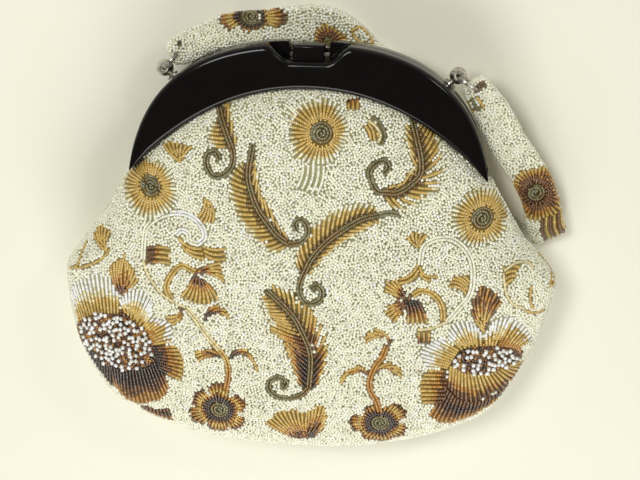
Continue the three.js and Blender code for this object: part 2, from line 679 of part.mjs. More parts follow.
function strapSections() {
  const behind = STRAP_BEHIND.map(strapPlace);
  const onwards = STRAP_RETURN.map(strapPlace);
  const first = sectionsThrough([...strapEnd(-1, behind[0].centre), ...behind], 2);
  const last = first[first.length - 1];
  last.forward.setZ(0).normalize();
  const above = { centre: last.centre.clone(), lean: 0, width: 1 };
  above.centre.z += 2 * FOLD_RADIUS;
  const direction = new THREE.Vector3().subVectors(onwards[0].centre, above.centre);
  const end = strapEnd(1, onwards[onwards.length - 1].centre).reverse();
  const second = sectionsThrough([above, ...onwards, ...end], 2);
  return [...first, ...foldSections(last, direction), ...second];
}

function strap() {
  const round = STRAP_THICKNESS / 2;
  const turns = [-90, -45, 0, 45, 90].map(THREE.MathUtils.degToRad);
  const outline = (flat) => [
    ...turns.map((turn) => new THREE.Vector2(flat + round * Math.cos(turn), round * Math.sin(turn))),
    ...turns.map((turn) => new THREE.Vector2(-flat - round * Math.cos(turn), -round * Math.sin(turn))),
  ];
  const rings = strapSections().map(({ centre, forward, wide, width }) => {
    const face = forward.clone().cross(wide).normalize();
    return outline((STRAP_WIDTH * width - STRAP_THICKNESS) / 2).map((point) => centre.clone()
      .addScaledVector(wide, point.x)
      .addScaledVector(face, point.y));
  });
  let solid = toSolid(loft(rings, outline(STRAP_WIDTH / 2)));
  for (const hand of [-1, 1]) {
    const hole = strapHole(hand);
    const top = hole.clone().setZ(hole.z + STRAP_THICKNESS);
    const bottom = hole.clone().setZ(hole.z - STRAP_THICKNESS);
    solid = solid.subtract(toSolid(rodGeometry(bottom, top, STRAP_HOLE_RADIUS, 8)));
  }
  return toGeometry(solid);
}

addMesh('pouch', pouch(), MATERIALS.beads);
addMesh('frame_front', frameFront(), MATERIALS.plastic);
addMesh('frame_back', frameBack(), MATERIALS.plastic);
addMesh('clasp_lever', claspLever(), MATERIALS.plastic);
addMesh('clasp_pin', rodGeometry(claspPoint(-claspPinReach()), claspPoint(claspPinReach()), CLASP_PIN_RADIUS, 12),
  MATERIALS.metal);
for (const [hand, side] of [[-1, 'left'], [1, 'right']]) {
  const pin = rodGeometry(hingePoint(hand, TIP_INNER + 0.2), hingePoint(hand, TIP_OUTER - 0.2), HINGE_PIN_RADIUS, 12);
  addMesh(`hinge_pin_${side}`, pin, MATERIALS.metal);
  addMesh(`stud_${side}`, stud(hand), MATERIALS.metal);
  addMesh(`ring_${side}`, ring(hand), MATERIALS.metal);
}
addMesh('strap', strap(), MATERIALS.beads);

export default group;
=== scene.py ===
"""Beaded evening handbag lying on its back: cloth, beads, arched frame, clasp, fittings and padded strap."""
import logging
import math
from collections.abc import Callable, Sequence
from dataclasses import dataclass, field
from enum import Enum

import bmesh
import bpy
import numpy as np
from mathutils import Matrix, Vector
from mathutils.bvhtree import BVHTree
from mathutils.kdtree import KDTree


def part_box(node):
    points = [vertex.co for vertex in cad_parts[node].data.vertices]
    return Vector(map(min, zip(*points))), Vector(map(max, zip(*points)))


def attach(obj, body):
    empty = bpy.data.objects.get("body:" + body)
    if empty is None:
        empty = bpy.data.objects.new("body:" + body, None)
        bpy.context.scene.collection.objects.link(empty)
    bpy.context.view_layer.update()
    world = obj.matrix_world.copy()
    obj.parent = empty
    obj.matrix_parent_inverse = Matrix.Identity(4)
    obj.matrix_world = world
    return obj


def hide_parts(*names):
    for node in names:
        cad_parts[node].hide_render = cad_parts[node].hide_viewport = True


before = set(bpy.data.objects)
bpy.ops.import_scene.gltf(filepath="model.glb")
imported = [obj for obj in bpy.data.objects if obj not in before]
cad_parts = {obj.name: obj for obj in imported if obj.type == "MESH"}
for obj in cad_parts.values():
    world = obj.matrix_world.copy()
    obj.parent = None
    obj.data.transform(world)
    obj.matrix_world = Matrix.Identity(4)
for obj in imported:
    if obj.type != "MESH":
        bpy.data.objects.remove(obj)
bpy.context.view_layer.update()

LOG = logging.getLogger("handbag")
MM = 0.001
SEED = 1956
BODY = "bag"
CLASP_BODY = "clasp"
UP = np.array([0.0, 0.0, 1.0])

Points = np.ndarray


class Tone(Enum):
    """Glass colours of the seed beads, as red, green and blue from 0 to 255."""

    IVORY = (251, 248, 220)
    WHITE = (250, 250, 240)
    CREAM_GOLD = (230, 216, 164)
    GOLD = (206, 172, 86)
    AMBER = (184, 130, 44)
    BROWN = (114, 71, 22)
    DARK = (58, 38, 19)
    OLIVE = (112, 102, 52)
    MOSS = (128, 122, 82)
    BRONZE = (126, 98, 44)


class Shade(Enum):
    """How the glass changes along a row of beads, from its start to its end."""

    IVORY = (Tone.IVORY,)
    GOLD = (Tone.GOLD,)
    AMBER = (Tone.AMBER,)
    BROWN = (Tone.BROWN,)
    DARK = (Tone.DARK,)
    OLIVE = (Tone.OLIVE,)
    MOSS = (Tone.MOSS,)
    CREAM = (Tone.CREAM_GOLD,)
    COIL = (Tone.MOSS, Tone.OLIVE, Tone.MOSS, Tone.BRONZE, Tone.OLIVE, Tone.MOSS, Tone.OLIVE)
    VEIN = (Tone.OLIVE, Tone.BRONZE, Tone.OLIVE, Tone.BRONZE, Tone.BRONZE, Tone.OLIVE, Tone.BRONZE)
    CURL = (Tone.BRONZE, Tone.OLIVE, Tone.MOSS, Tone.OLIVE, Tone.OLIVE, Tone.MOSS, Tone.OLIVE)
    PETAL = (Tone.GOLD, Tone.GOLD, Tone.CREAM_GOLD, Tone.WHITE, Tone.WHITE)
    WARM_PETAL = (Tone.AMBER, Tone.GOLD, Tone.GOLD, Tone.WHITE)
    DAISY = (Tone.GOLD, Tone.GOLD, Tone.GOLD, Tone.CREAM_GOLD, Tone.IVORY)
    BARB = (Tone.BRONZE, Tone.GOLD, Tone.GOLD, Tone.GOLD, Tone.GOLD, Tone.CREAM_GOLD, Tone.IVORY)
    ROOTED = (Tone.BROWN, Tone.AMBER, Tone.GOLD, Tone.GOLD)
    BURNT = (Tone.DARK, Tone.BROWN, Tone.AMBER, Tone.GOLD)
    SOOTY = (Tone.DARK, Tone.DARK, Tone.BROWN, Tone.AMBER)
    EARTH = (Tone.BROWN, Tone.DARK, Tone.BROWN, Tone.AMBER)
    SUNSET = (Tone.GOLD, Tone.GOLD, Tone.AMBER, Tone.BROWN)
    SCROLL = (Tone.IVORY, Tone.IVORY, Tone.WHITE, Tone.WHITE)
    RAYS = (Tone.BROWN, Tone.BROWN, Tone.AMBER, Tone.GOLD)
    VINE = (Tone.CREAM_GOLD, Tone.CREAM_GOLD, Tone.GOLD, Tone.AMBER)


def linear(tone: Sequence[float]) -> np.ndarray:
    """Linear red, green and blue of a colour given from 0 to 255."""
    value = np.asarray(tone, float) / 255.0
    return np.where(value <= 0.04045, value / 12.92, ((value + 0.055) / 1.055) ** 2.4)


def unit(vectors: Points) -> Points:
    """The vectors at length 1."""
    return vectors / np.maximum(np.linalg.norm(vectors, axis=-1, keepdims=True), 1e-12)


def smooth_step(start: float, end: float, value: Points) -> Points:
    """0 before start and 1 after end, with a soft change between them."""
    share = np.clip((value - start) / (end - start), 0.0, 1.0)
    return share * share * (3.0 - 2.0 * share)


def smooth_line(points: Sequence[Sequence[float]], per_span: int = 12) -> Points:
    """A centripetal curve through points, with the ends carried on straight.

    Args:
        points: the points that the curve passes through, in order.
        per_span: how many samples each span between two points gets.

    Returns:
        The samples, the first and last point included.
    """
    given = np.asarray(points, float)
    if len(given) == 2:
        return given[0] + np.linspace(0, 1, per_span + 1)[:, None] * (given[1] - given[0])
    held = np.vstack([2 * given[0] - given[1], given, 2 * given[-1] - given[-2]])
    knots = np.concatenate([[0.0], np.cumsum(np.linalg.norm(np.diff(held, axis=0), axis=1) ** 0.5)])
    pieces = []
    for first in range(len(held) - 3):
        t0, t1, t2, t3 = knots[first:first + 4]
        p0, p1, p2, p3 = held[first:first + 4]
        t = np.linspace(t1, t2, per_span, endpoint=False)[:, None]
        a1 = (t1 - t) / (t1 - t0) * p0 + (t - t0) / (t1 - t0) * p1
        a2 = (t2 - t) / (t2 - t1) * p1 + (t - t1) / (t2 - t1) * p2
        a3 = (t3 - t) / (t3 - t2) * p2 + (t - t2) / (t3 - t2) * p3
        b1 = (t2 - t) / (t2 - t0) * a1 + (t - t0) / (t2 - t0) * a2
        b2 = (t3 - t) / (t3 - t1) * a2 + (t - t1) / (t3 - t1) * a3
        pieces.append((t2 - t) / (t2 - t1) * b1 + (t - t1) / (t2 - t1) * b2)
    return np.vstack([*pieces, given[-1:]])


def lengths_along(line: Points) -> np.ndarray:
    """Distance from the start of a line to each of its points."""
    return np.concatenate([[0.0], np.cumsum(np.linalg.norm(np.diff(line, axis=0), axis=1))])


def spread(line: Points, count: int) -> Points:
    """That many points at even distances along a line."""
    length = lengths_along(line)
    at = np.linspace(0.0, length[-1], count)
    return np.stack([np.interp(at, length, line[:, axis]) for axis in range(line.shape[1])], axis=1)


def ring_faces(rings: int, count: int, closed: bool = True) -> list[tuple[int, ...]]:
    """Quads between neighbouring rings of points.

    Args:
        rings: how many rings there are.
        count: how many points each ring has.
        closed: whether the last point of a ring joins its first.

    Returns:
        The faces, as point numbers.
    """
    sides = count if closed else count - 1
    faces = []
    for ring in range(rings - 1):
        for side in range(sides):
            a = ring * count + side
            b = ring * count + (side + 1) % count
            faces.append((a, b, b + count, a + count))
    return faces


def make_piece(name: str, points: Points, faces: list[tuple[int, ...]],
               *finishes: bpy.types.Material) -> bpy.types.Object:
    """A new smooth-shaded piece with its faces turned outwards.

    Args:
        name: the piece's name.
        points: its points, in millimetres.
        faces: its faces, as point numbers.
        finishes: its materials, the first on all faces.

    Returns:
        The piece, at the origin.
    """
    mesh = bpy.data.meshes.new(name)
    mesh.from_pydata((np.asarray(points) * MM).tolist(), [], faces)
    for finish in finishes:
        mesh.materials.append(finish)
    shell = bmesh.new()
    shell.from_mesh(mesh)
    bmesh.ops.recalc_face_normals(shell, faces=shell.faces)
    shell.to_mesh(mesh)
    shell.free()
    mesh.shade_smooth()
    piece = bpy.data.objects.new(name, mesh)
    bpy.context.scene.collection.objects.link(piece)
    return piece


def settle(piece: bpy.types.Object) -> bpy.types.Object:
    """Turns the evaluated piece into a plain mesh and removes its modifiers."""
    graph = bpy.context.evaluated_depsgraph_get()
    mesh = bpy.data.meshes.new_from_object(piece.evaluated_get(graph))
    piece.modifiers.clear()
    mesh.name = piece.name
    piece.data = mesh
    return piece


def crisp(piece: bpy.types.Object, angle: float) -> bpy.types.Object:
    """Shades a piece smooth, apart from edges sharper than angle degrees."""
    piece.data.shade_smooth()
    piece.data.set_sharp_from_angle(angle=math.radians(angle))
    return piece


def report(piece: bpy.types.Object, body: str, slot: str, *nodes: str) -> bpy.types.Object:
    """Ties a piece to its body, hides the solids that it stands for, and logs it."""
    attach(piece, body)
    if nodes:
        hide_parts(*nodes)
    LOG.info("%s: %d faces on %s", piece.name, len(piece.data.polygons), body)
    return piece


class Nodes:
    """A short way to write a node tree."""

    def __init__(self, tree: bpy.types.NodeTree) -> None:
        """Keeps the tree that nodes are added to."""
        self.tree = tree

    def add(self, kind: str, settings: dict | None = None, **sockets: object) -> bpy.types.Node:
        """Adds a node.

        Args:
            kind: the node's type name.
            settings: its properties, by name.
            sockets: values or sockets for its inputs, by name, with _ for a space.

        Returns:
            The node.
        """
        node = self.tree.nodes.new(kind)
        for name, value in (settings or {}).items():
            setattr(node, name, value)
        for name, value in sockets.items():
            socket = node.inputs[name.replace("_", " ")]
            if isinstance(value, bpy.types.NodeSocket):
                self.tree.links.new(value, socket)
            else:
                socket.default_value = value
        return node


def new_finish(name: str) -> tuple[bpy.types.Material, Nodes, bpy.types.Node]:
    """A material with only its shader and output, its nodes, and the shader."""
    material = bpy.data.materials.new(name)
    material.use_nodes = True
    material.node_tree.nodes.clear()
    nodes = Nodes(material.node_tree)
    shader = nodes.add("ShaderNodeBsdfPrincipled")
    nodes.add("ShaderNodeOutputMaterial", Surface=shader.outputs["BSDF"])
    return material, nodes, shader


@dataclass(frozen=True)
class BeadGlass:
    """Glossy seed bead glass whose colour is carried by each bead."""

    name: str = "bead_glass"
    tint: str = "bead_tint"
    roughness: float = 0.22
    gloss: float = 1.0

    def build(self) -> bpy.types.Material:
        """The material."""
        material, nodes, shader = new_finish(self.name)
        tint = nodes.add("ShaderNodeAttribute", {"attribute_name": self.tint})
        place = nodes.add("ShaderNodeTexCoord")
        mist = nodes.add("ShaderNodeTexNoise", Vector=place.outputs["Object"], Scale=900.0, Detail=2.0)
        rough = nodes.add("ShaderNodeMapRange", Value=mist.outputs["Fac"])
        rough.inputs["To Min"].default_value = self.roughness - 0.06
        rough.inputs["To Max"].default_value = self.roughness + 0.14
        nodes.tree.links.new(tint.outputs["Color"], shader.inputs["Base Color"])
        nodes.tree.links.new(rough.outputs["Result"], shader.inputs["Roughness"])
        shader.inputs["Coat Weight"].default_value = self.gloss
        shader.inputs["Coat IOR"].default_value = 1.68
        shader.inputs["Coat Roughness"].default_value = 0.14
        return material


@dataclass(frozen=True)
class WovenCloth:
    """Plain woven cloth with a fine weave and soft blotches."""

    name: str
    colour: tuple[int, int, int] | None = None
    thread: float = 0.45
    blotch: float = 0.16

    def build(self) -> bpy.types.Material:
        """The material."""
        material, nodes, shader = new_finish(self.name)
        place = nodes.add("ShaderNodeTexCoord").outputs["Object"]
        density = math.tau / (self.thread * MM) / 20.0
        warp, weft = (nodes.add("ShaderNodeTexWave", {"bands_direction": way}, Vector=place, Scale=density,
                                Distortion=0.6) for way in "XY")
        weave = nodes.add("ShaderNodeMath", {"operation": "MAXIMUM"})
        nodes.tree.links.new(warp.outputs["Fac"], weave.inputs[0])
        nodes.tree.links.new(weft.outputs["Fac"], weave.inputs[1])
        cloud = nodes.add("ShaderNodeTexNoise", Vector=place, Scale=60.0, Detail=3.0)
        shade = nodes.add("ShaderNodeMapRange", Value=cloud.outputs["Fac"])
        shade.inputs["To Min"].default_value = 1 - self.blotch
        shade.inputs["To Max"].default_value = 1 + self.blotch
        mixed = nodes.add("ShaderNodeVectorMath", {"operation": "SCALE"}, Scale=shade.outputs["Result"])
        if self.colour is None:
            # without a colour, the cloth takes a point attribute that holds painted shade between the beads
            tint = nodes.add("ShaderNodeAttribute", {"attribute_name": "cloth_bead_shade"})
            nodes.tree.links.new(tint.outputs["Color"], mixed.inputs[0])
        else:
            mixed.inputs[0].default_value = tuple(linear(self.colour))
        bump = nodes.add("ShaderNodeBump", Height=weave.outputs["Value"], Strength=0.5, Distance=0.15 * MM)
        nodes.tree.links.new(mixed.outputs["Vector"], shader.inputs["Base Color"])
        nodes.tree.links.new(bump.outputs["Normal"], shader.inputs["Normal"])
        shader.inputs["Roughness"].default_value = 0.85
        shader.inputs["Sheen Weight"].default_value = 0.25
        return material


@dataclass(frozen=True)
class PolishedPlastic:
    """Black polished plastic with faint rubbing marks."""

    name: str = "black_plastic"
    colour: tuple[int, int, int] = (13, 11, 10)
    roughness: float = 0.1

    def build(self) -> bpy.types.Material:
        """The material."""
        material, nodes, shader = new_finish(self.name)
        place = nodes.add("ShaderNodeTexCoord").outputs["Object"]
        rub = nodes.add("ShaderNodeTexNoise", Vector=place, Scale=45.0, Detail=5.0, Roughness=0.6)
        rough = nodes.add("ShaderNodeMapRange", Value=rub.outputs["Fac"])
        rough.inputs["From Min"].default_value = 0.35
        rough.inputs["From Max"].default_value = 0.75
        rough.inputs["To Min"].default_value = self.roughness
        rough.inputs["To Max"].default_value = self.roughness + 0.1
        stretch = nodes.add("ShaderNodeMapping", Vector=place, Scale=(30.0, 500.0, 200.0))
        scratch = nodes.add("ShaderNodeTexNoise", Vector=stretch.outputs["Vector"], Scale=6.0, Detail=2.0)
        fine = nodes.add("ShaderNodeMapRange", Value=scratch.outputs["Fac"])
        fine.inputs["From Min"].default_value = 0.62
        fine.inputs["From Max"].default_value = 0.75
        bump = nodes.add("ShaderNodeBump", Height=fine.outputs["Result"], Strength=0.06, Distance=0.05 * MM)
        nodes.tree.links.new(rough.outputs["Result"], shader.inputs["Roughness"])
        nodes.tree.links.new(bump.outputs["Normal"], shader.inputs["Normal"])
        shader.inputs["Base Color"].default_value = (*linear(self.colour), 1)
        shader.inputs["Specular IOR Level"].default_value = 0.24
        return material


@dataclass(frozen=True)
class WornMetal:
    """Silvery plating, dulled and spotted with handling."""

    name: str = "worn_silver"
    bright: tuple[int, int, int] = (206, 201, 190)
    dull: tuple[int, int, int] = (128, 118, 100)

    def build(self) -> bpy.types.Material:
        """The material."""
        material, nodes, shader = new_finish(self.name)
        place = nodes.add("ShaderNodeTexCoord").outputs["Object"]
        spots = nodes.add("ShaderNodeTexNoise", Vector=place, Scale=420.0, Detail=4.0, Roughness=0.7)
        ramp = nodes.add("ShaderNodeValToRGB", Fac=spots.outputs["Fac"])
        ramp.color_ramp.elements[0].position = 0.36
        ramp.color_ramp.elements[0].color = (*linear(self.dull), 1)
        ramp.color_ramp.elements[1].position = 0.55
        ramp.color_ramp.elements[1].color = (*linear(self.bright), 1)
        rough = nodes.add("ShaderNodeMapRange", Value=spots.outputs["Fac"])
        rough.inputs["To Min"].default_value = 0.42
        rough.inputs["To Max"].default_value = 0.16
        bump = nodes.add("ShaderNodeBump", Height=spots.outputs["Fac"], Strength=0.15, Distance=0.05 * MM)
        nodes.tree.links.new(ramp.outputs["Color"], shader.inputs["Base Color"])
        nodes.tree.links.new(rough.outputs["Result"], shader.inputs["Roughness"])
        nodes.tree.links.new(bump.outputs["Normal"], shader.inputs["Normal"])
        shader.inputs["Metallic"].default_value = 1.0
        return material


@dataclass(frozen=True)
class PaleFloor:
    """Smooth pale card that the bag lies on."""

    name: str = "pale_card"
    colour: tuple[int, int, int] = (243, 240, 222)

    def build(self) -> bpy.types.Material:
        """The material."""
        material, nodes, shader = new_finish(self.name)
        place = nodes.add("ShaderNodeTexCoord").outputs["Object"]
        grain = nodes.add("ShaderNodeTexNoise", Vector=place, Scale=3.0, Detail=2.0)
        base = linear(self.colour)
        ramp = nodes.add("ShaderNodeValToRGB", Fac=grain.outputs["Fac"])
        ramp.color_ramp.elements[0].color = (*(base * 0.985), 1)
        ramp.color_ramp.elements[1].color = (*np.minimum(base * 1.01, 1), 1)
        nodes.tree.links.new(ramp.outputs["Color"], shader.inputs["Base Color"])
        shader.inputs["Roughness"].default_value = 0.6
        return material


@dataclass
class Threadwork:
    """One row of beads: its line on the flat chart and its glass."""

    line: Points
    shade: Shade


@dataclass(frozen=True)
class Bead:
    """Sizes of the seed beads, in millimetres, and how closely they lie.

    Attributes:
        radius: of a bead round its hole.
        length: of a bead on its own.
        row_radius: of the beads of the pattern.
        row_step: from bead to bead along a row.
        row_gap: from row to row of a round flower, a lobe or a feather.
        petal_gap: from row to row of a petal or leaf.
        thread_gap: from row to row of a scroll.
        lift: of a bead's middle over the cloth.
        crowd: least distance between beads of two rows.
        loose: least distance between beads of the ground, before they settle.
        clear: least distance from the ground's beads to the pattern's.
        settled: distance at which beads of the ground stop pushing each other.
        least: least distance between beads once they have settled.
        per_mm2: beads of the ground on each square millimetre.
    """

    radius: float = 0.8
    length: float = 1.3
    row_radius: float = 0.74
    row_step: float = 1.12
    row_gap: float = 2.05
    petal_gap: float = 2.45
    thread_gap: float = 1.55
    lift: float = 0.36
    crowd: float = 1.05
    loose: float = 1.12
    clear: float = 1.36
    settled: float = 1.5
    least: float = 0.92
    per_mm2: float = 0.54


BEAD = Bead()


@dataclass(frozen=True)
class Thread:
    """A scroll or stem of parallel rows.

    Attributes:
        points: where its middle passes, in chart millimetres.
        shade: its glass.
        strands: how many rows lie side by side.
    """

    points: tuple[tuple[float, float], ...]
    shade: Shade
    strands: int = 1

    def rows(self) -> list[Threadwork]:
        """Its rows."""
        line = smooth_line(self.points)
        ahead = unit(np.gradient(line, axis=0))
        aside = np.stack([-ahead[:, 1], ahead[:, 0]], axis=1)
        offsets = (np.arange(self.strands) - (self.strands - 1) / 2) * BEAD.thread_gap
        return [Threadwork(line + aside * offset, self.shade) for offset in offsets]


@dataclass(frozen=True)
class Petal:
    """A field of rows between two lines.

    Attributes:
        start: the line where the rows start, in chart millimetres.
        end: the line where they end.
        shade: its glass, from start to end.
        bend: sideways bow of each row, as a share of its length.
        stripe: glass of every other row, where the petal is striped.
    """

    start: tuple[tuple[float, float], ...]
    end: tuple[tuple[float, float], ...]
    shade: Shade
    bend: float = 0.0
    stripe: Shade | None = None

    def rows(self) -> list[Threadwork]:
        """Its rows."""
        first, last = (smooth_line(line) if len(line) > 1 else np.repeat([line[0]], 13, axis=0)
                       for line in (self.start, self.end))
        widest = max(lengths_along(first)[-1], lengths_along(last)[-1])
        count = max(2, round(widest / BEAD.petal_gap) + 1)
        starts = spread(first, count) if lengths_along(first)[-1] > 0 else np.repeat(first[:1], count, axis=0)
        ends = spread(last, count) if lengths_along(last)[-1] > 0 else np.repeat(last[:1], count, axis=0)
        share = np.linspace(0, 1, 13)[:, None]
        made = []
        for number, (a, b) in enumerate(zip(starts, ends)):
            aside = np.array([-(b - a)[1], (b - a)[0]])
            line = a + share * (b - a) + 4 * share * (1 - share) * aside * self.bend
            striped = self.stripe is not None and number % 2 == 1
            made.append(Threadwork(line, self.stripe if striped else self.shade))
        order = sorted(range(count), key=lambda number: (number % 2, number))
        return [made[number] for number in order]


@dataclass(frozen=True)
class Bloom:
    """A round flower: a coiled middle, a ring of petal rows and a pale halo.

    Attributes:
        x: its middle, in chart millimetres.
        y: its middle, in chart millimetres.
        middle: radius of the coil.
        petals: radius of the petal rows.
        halo: radius of the halo, the same as petals for none.
        shade: glass of the petals.
        stretch: how much longer the petals are across than along.
        coil: glass of the middle.
        pale: direction in which the halo is widest, in radians.
    """

    x: float
    y: float
    middle: float
    petals: float
    halo: float
    shade: Shade = Shade.DAISY
    stretch: float = 1.0
    coil: Shade = Shade.COIL
    pale: float = 0.0

    def rows(self) -> list[Threadwork]:
        """Its rows, the coil first."""
        turns = self.middle / BEAD.thread_gap + 1
        turn = np.linspace(0, turns, max(8, int(turns * 28)))
        reach = np.minimum(turn * BEAD.thread_gap, self.middle)
        centre = np.array([self.x, self.y])
        coil = centre + np.stack([reach * np.cos(turn * math.tau), reach * np.sin(turn * math.tau)], axis=1)
        made = [Threadwork(coil, self.coil)]
        count = round(math.tau * self.petals / BEAD.row_gap)
        for number in range(count):
            angle = math.tau * number / count
            ray = np.array([math.cos(angle) * self.stretch, math.sin(angle)])
            outer = self.petals + (self.halo - self.petals) * (0.5 + 0.5 * math.cos(angle - self.pale))
            outer *= 1 + 0.05 * math.sin(5 * angle + self.x)
            row = centre + np.outer(np.linspace(self.middle + 1.1, outer, 12), ray)
            made.append(Threadwork(row, self.shade))
        return made


@dataclass(frozen=True)
class Lobe:
    """A petal of a small flower: rows that fan out from its middle.

    Attributes:
        x: the flower's middle, in chart millimetres.
        y: the flower's middle, in chart millimetres.
        heading: direction of the lobe, in degrees from +X.
        width: angle that it fills, in degrees.
        inner: radius where its rows start.
        outer: radius where its longest row ends.
        shade: its glass.
    """

    x: float
    y: float
    heading: float
    width: float
    inner: float
    outer: float
    shade: Shade

    def rows(self) -> list[Threadwork]:
        """Its rows."""
        arc = math.radians(self.width) * (0.35 * self.inner + 0.65 * self.outer)
        count = max(3, round(arc / BEAD.row_gap))
        made = []
        for number in range(count):
            side = 2 * (number + 0.5) / count - 1
            angle = math.radians(self.heading + side * self.width / 2)
            reach = self.inner + (self.outer - self.inner) * (1 - 0.35 * side * side)
            ray = np.array([math.cos(angle), math.sin(angle)])
            row = [self.x, self.y] + np.outer(np.linspace(self.inner, reach, 9), ray)
            made.append(Threadwork(row, self.shade))
        return made


@dataclass(frozen=True)
class Feather:
    """A plume: a dark vein with curved barbs on both sides.

    Attributes:
        vein: where the vein passes, from the tip to the root.
        left: length of the barbs on the left, seen from the root, at even stations from tip to root.
        right: the same on the right.
        tilt: angle of the left and right barbs from the direction of the tip, in degrees.
        shade: glass of the barbs.
        scorch: share of the vein past which the barbs start dark.
        strands: rows in the vein.
        glass: glass of the vein.
    """

    vein: tuple[tuple[float, float], ...]
    left: tuple[float, ...]
    right: tuple[float, ...]
    tilt: tuple[float, float] = (62.0, 38.0)
    shade: Shade = Shade.BARB
    scorch: float = 2.0
    strands: int = 2
    glass: Shade = Shade.VEIN

    def rows(self) -> list[Threadwork]:
        """Its rows, the vein first."""
        made = Thread(self.vein, self.glass, self.strands).rows()
        line = smooth_line(self.vein, 24)
        length = lengths_along(line)
        for side, reaches, tilt in ((1, self.left, self.tilt[0]), (-1, self.right, self.tilt[1])):
            step = BEAD.row_gap / math.sin(math.radians(tilt))
            for at in np.arange(step, length[-1], step):
                share = at / length[-1]
                reach = float(np.interp(share, np.linspace(0, 1, len(reaches)), reaches))
                if reach < 1.0:
                    continue
                root, before = (np.array([np.interp(place, length, line[:, axis]) for axis in range(2)])
                                for place in (at, at - 1))
                tipward = unit(before - root)
                turn = math.radians(tilt) * side
                out = np.array([tipward[0] * math.cos(turn) - tipward[1] * math.sin(turn),
                                tipward[0] * math.sin(turn) + tipward[1] * math.cos(turn)])
                aside = np.array([-tipward[1], tipward[0]]) * side
                walk = np.linspace(0, reach, 9)[:, None]
                start = root + aside * (self.strands * 0.5 * BEAD.thread_gap + 0.5)
                curved = start + out * walk + tipward * (0.16 * walk ** 2 / max(reach, 1.0))
                burn = max(0.0, share - self.scorch) / max(1e-6, 1 - self.scorch)
                shade = Shade.BURNT if burn > 0.45 else Shade.ROOTED if burn > 0 else self.shade
                made.append(Threadwork(curved, shade))
        return made


@dataclass(frozen=True)
class Heap:
    """Raised white beads on brown ground, in the middle of a large flower.

    Attributes:
        x: its middle, in chart millimetres.
        y: its middle, in chart millimetres.
        wide: half its width.
        high: half its height.
        tilt: how far it is turned, in degrees.
    """

    x: float
    y: float
    wide: float
    high: float
    tilt: float

    def holds(self, places: Points, grown: float = 1.0) -> np.ndarray:
        """Which places lie inside it, or inside it grown by a factor."""
        turn = math.radians(self.tilt)
        dx, dy = places[:, 0] - self.x, places[:, 1] - self.y
        along = dx * math.cos(turn) + dy * math.sin(turn)
        across = -dx * math.sin(turn) + dy * math.cos(turn)
        return (along / self.wide) ** 2 + (across / self.high) ** 2 < grown ** 2


HEAPS = (Heap(-97, -33, 20, 15.5, -14), Heap(91.5, -34, 16.5, 7.5, 6))

# The floral pattern of the front, in millimetres from the middle of the pouch. Its places were picked
# and turned into millimetres with the camera's numbers, outside this script.
DAISIES = (
    Bloom(-77.7, 49.4, 4.9, 13.0, 16.5, pale=4.2),
    Bloom(7.6, 79.6, 5.0, 12.4, 19.0, pale=2.8),
    Bloom(86.8, 38.8, 4.9, 13.0, 15.5, pale=2.4),
)

PALE_ROWS = (
    Petal(((-1, 65), (9, 65)), ((-4, 53), (6, 50)), Shade.IVORY, 0.08),
    Petal(((-14, 88), (-11.5, 92.5)), ((-7, 82.5), (-4.5, 87)), Shade.IVORY, 0.06),
)

PLUMES = (
    Feather(((-44, 90), (-42, 84), (-39.5, 78), (-36.5, 71)), (0, 0, 5, 8, 7), (4, 9, 11, 9, 5), (74, 24)),
    Feather(((-26, 73), (-28, 58), (-26, 49), (-23, 42), (-18, 35), (-13, 29), (-7, 25)),
            (0, 1, 8, 10, 10.5, 10, 6), (0, 2, 8, 10, 11, 10, 4), (64, 25)),
    Feather(((51, 86), (54, 76), (56, 68), (56, 61), (51, 55.5), (45, 52), (39.5, 52)),
            (2, 5, 8, 9, 10, 9, 5), (3, 9, 12, 11, 11, 10, 7), (27, 50)),
    Feather(((37, 41), (29, 39), (19, 33), (11, 26.5), (4, 18), (0, 9.5)),
            (1, 6, 10, 11, 11, 6), (2, 6, 7, 7, 6, 2), (48, 36)),
    Feather(((-18, 0.5), (-11, -6), (-4, -14), (0, -22), (3.5, -31), (4, -39), (3, -52)),
            (2, 7, 12, 15, 16, 14, 6), (2, 7, 11, 12.5, 12, 10, 5), (52, 36), scorch=0.52),
)

CURLS = (
    Thread(((-36, 70), (-35.5, 66), (-37, 61), (-41, 57.5), (-45.5, 57), (-49, 62), (-48.5, 67),
            (-44.5, 68.5), (-42.5, 65)), Shade.CURL, 2),
    Thread(((-7, 25), (-2, 26), (1.5, 30), (1.5, 34.5), (-1.5, 37.5), (-4.5, 35.5), (-3.5, 32)),
           Shade.CURL, 2),
    Thread(((39.5, 52), (35.5, 52.5), (32.5, 57), (31.5, 62.5), (34.5, 66), (38.5, 67), (40.5, 64), (38, 61)),
           Shade.CURL, 2),
    Thread(((0, 9.5), (-1.6, 5), (-1.8, 0), (1, -4.5), (4.5, -5.5), (8.5, -3), (9.4, 1.5),
            (6.5, 4.5), (4, 2.5)), Shade.CURL, 2),
    Thread(((3, -52), (-2, -57), (-8, -58.5), (-14, -57.5), (-17.5, -53), (-16.5, -48.5), (-12, -47),
            (-8.5, -49.5), (-10.5, -53)), Shade.CURL, 2),
    Thread(((37, 41), (41, 42), (46.5, 41.5)), Shade.MOSS, 2),
)

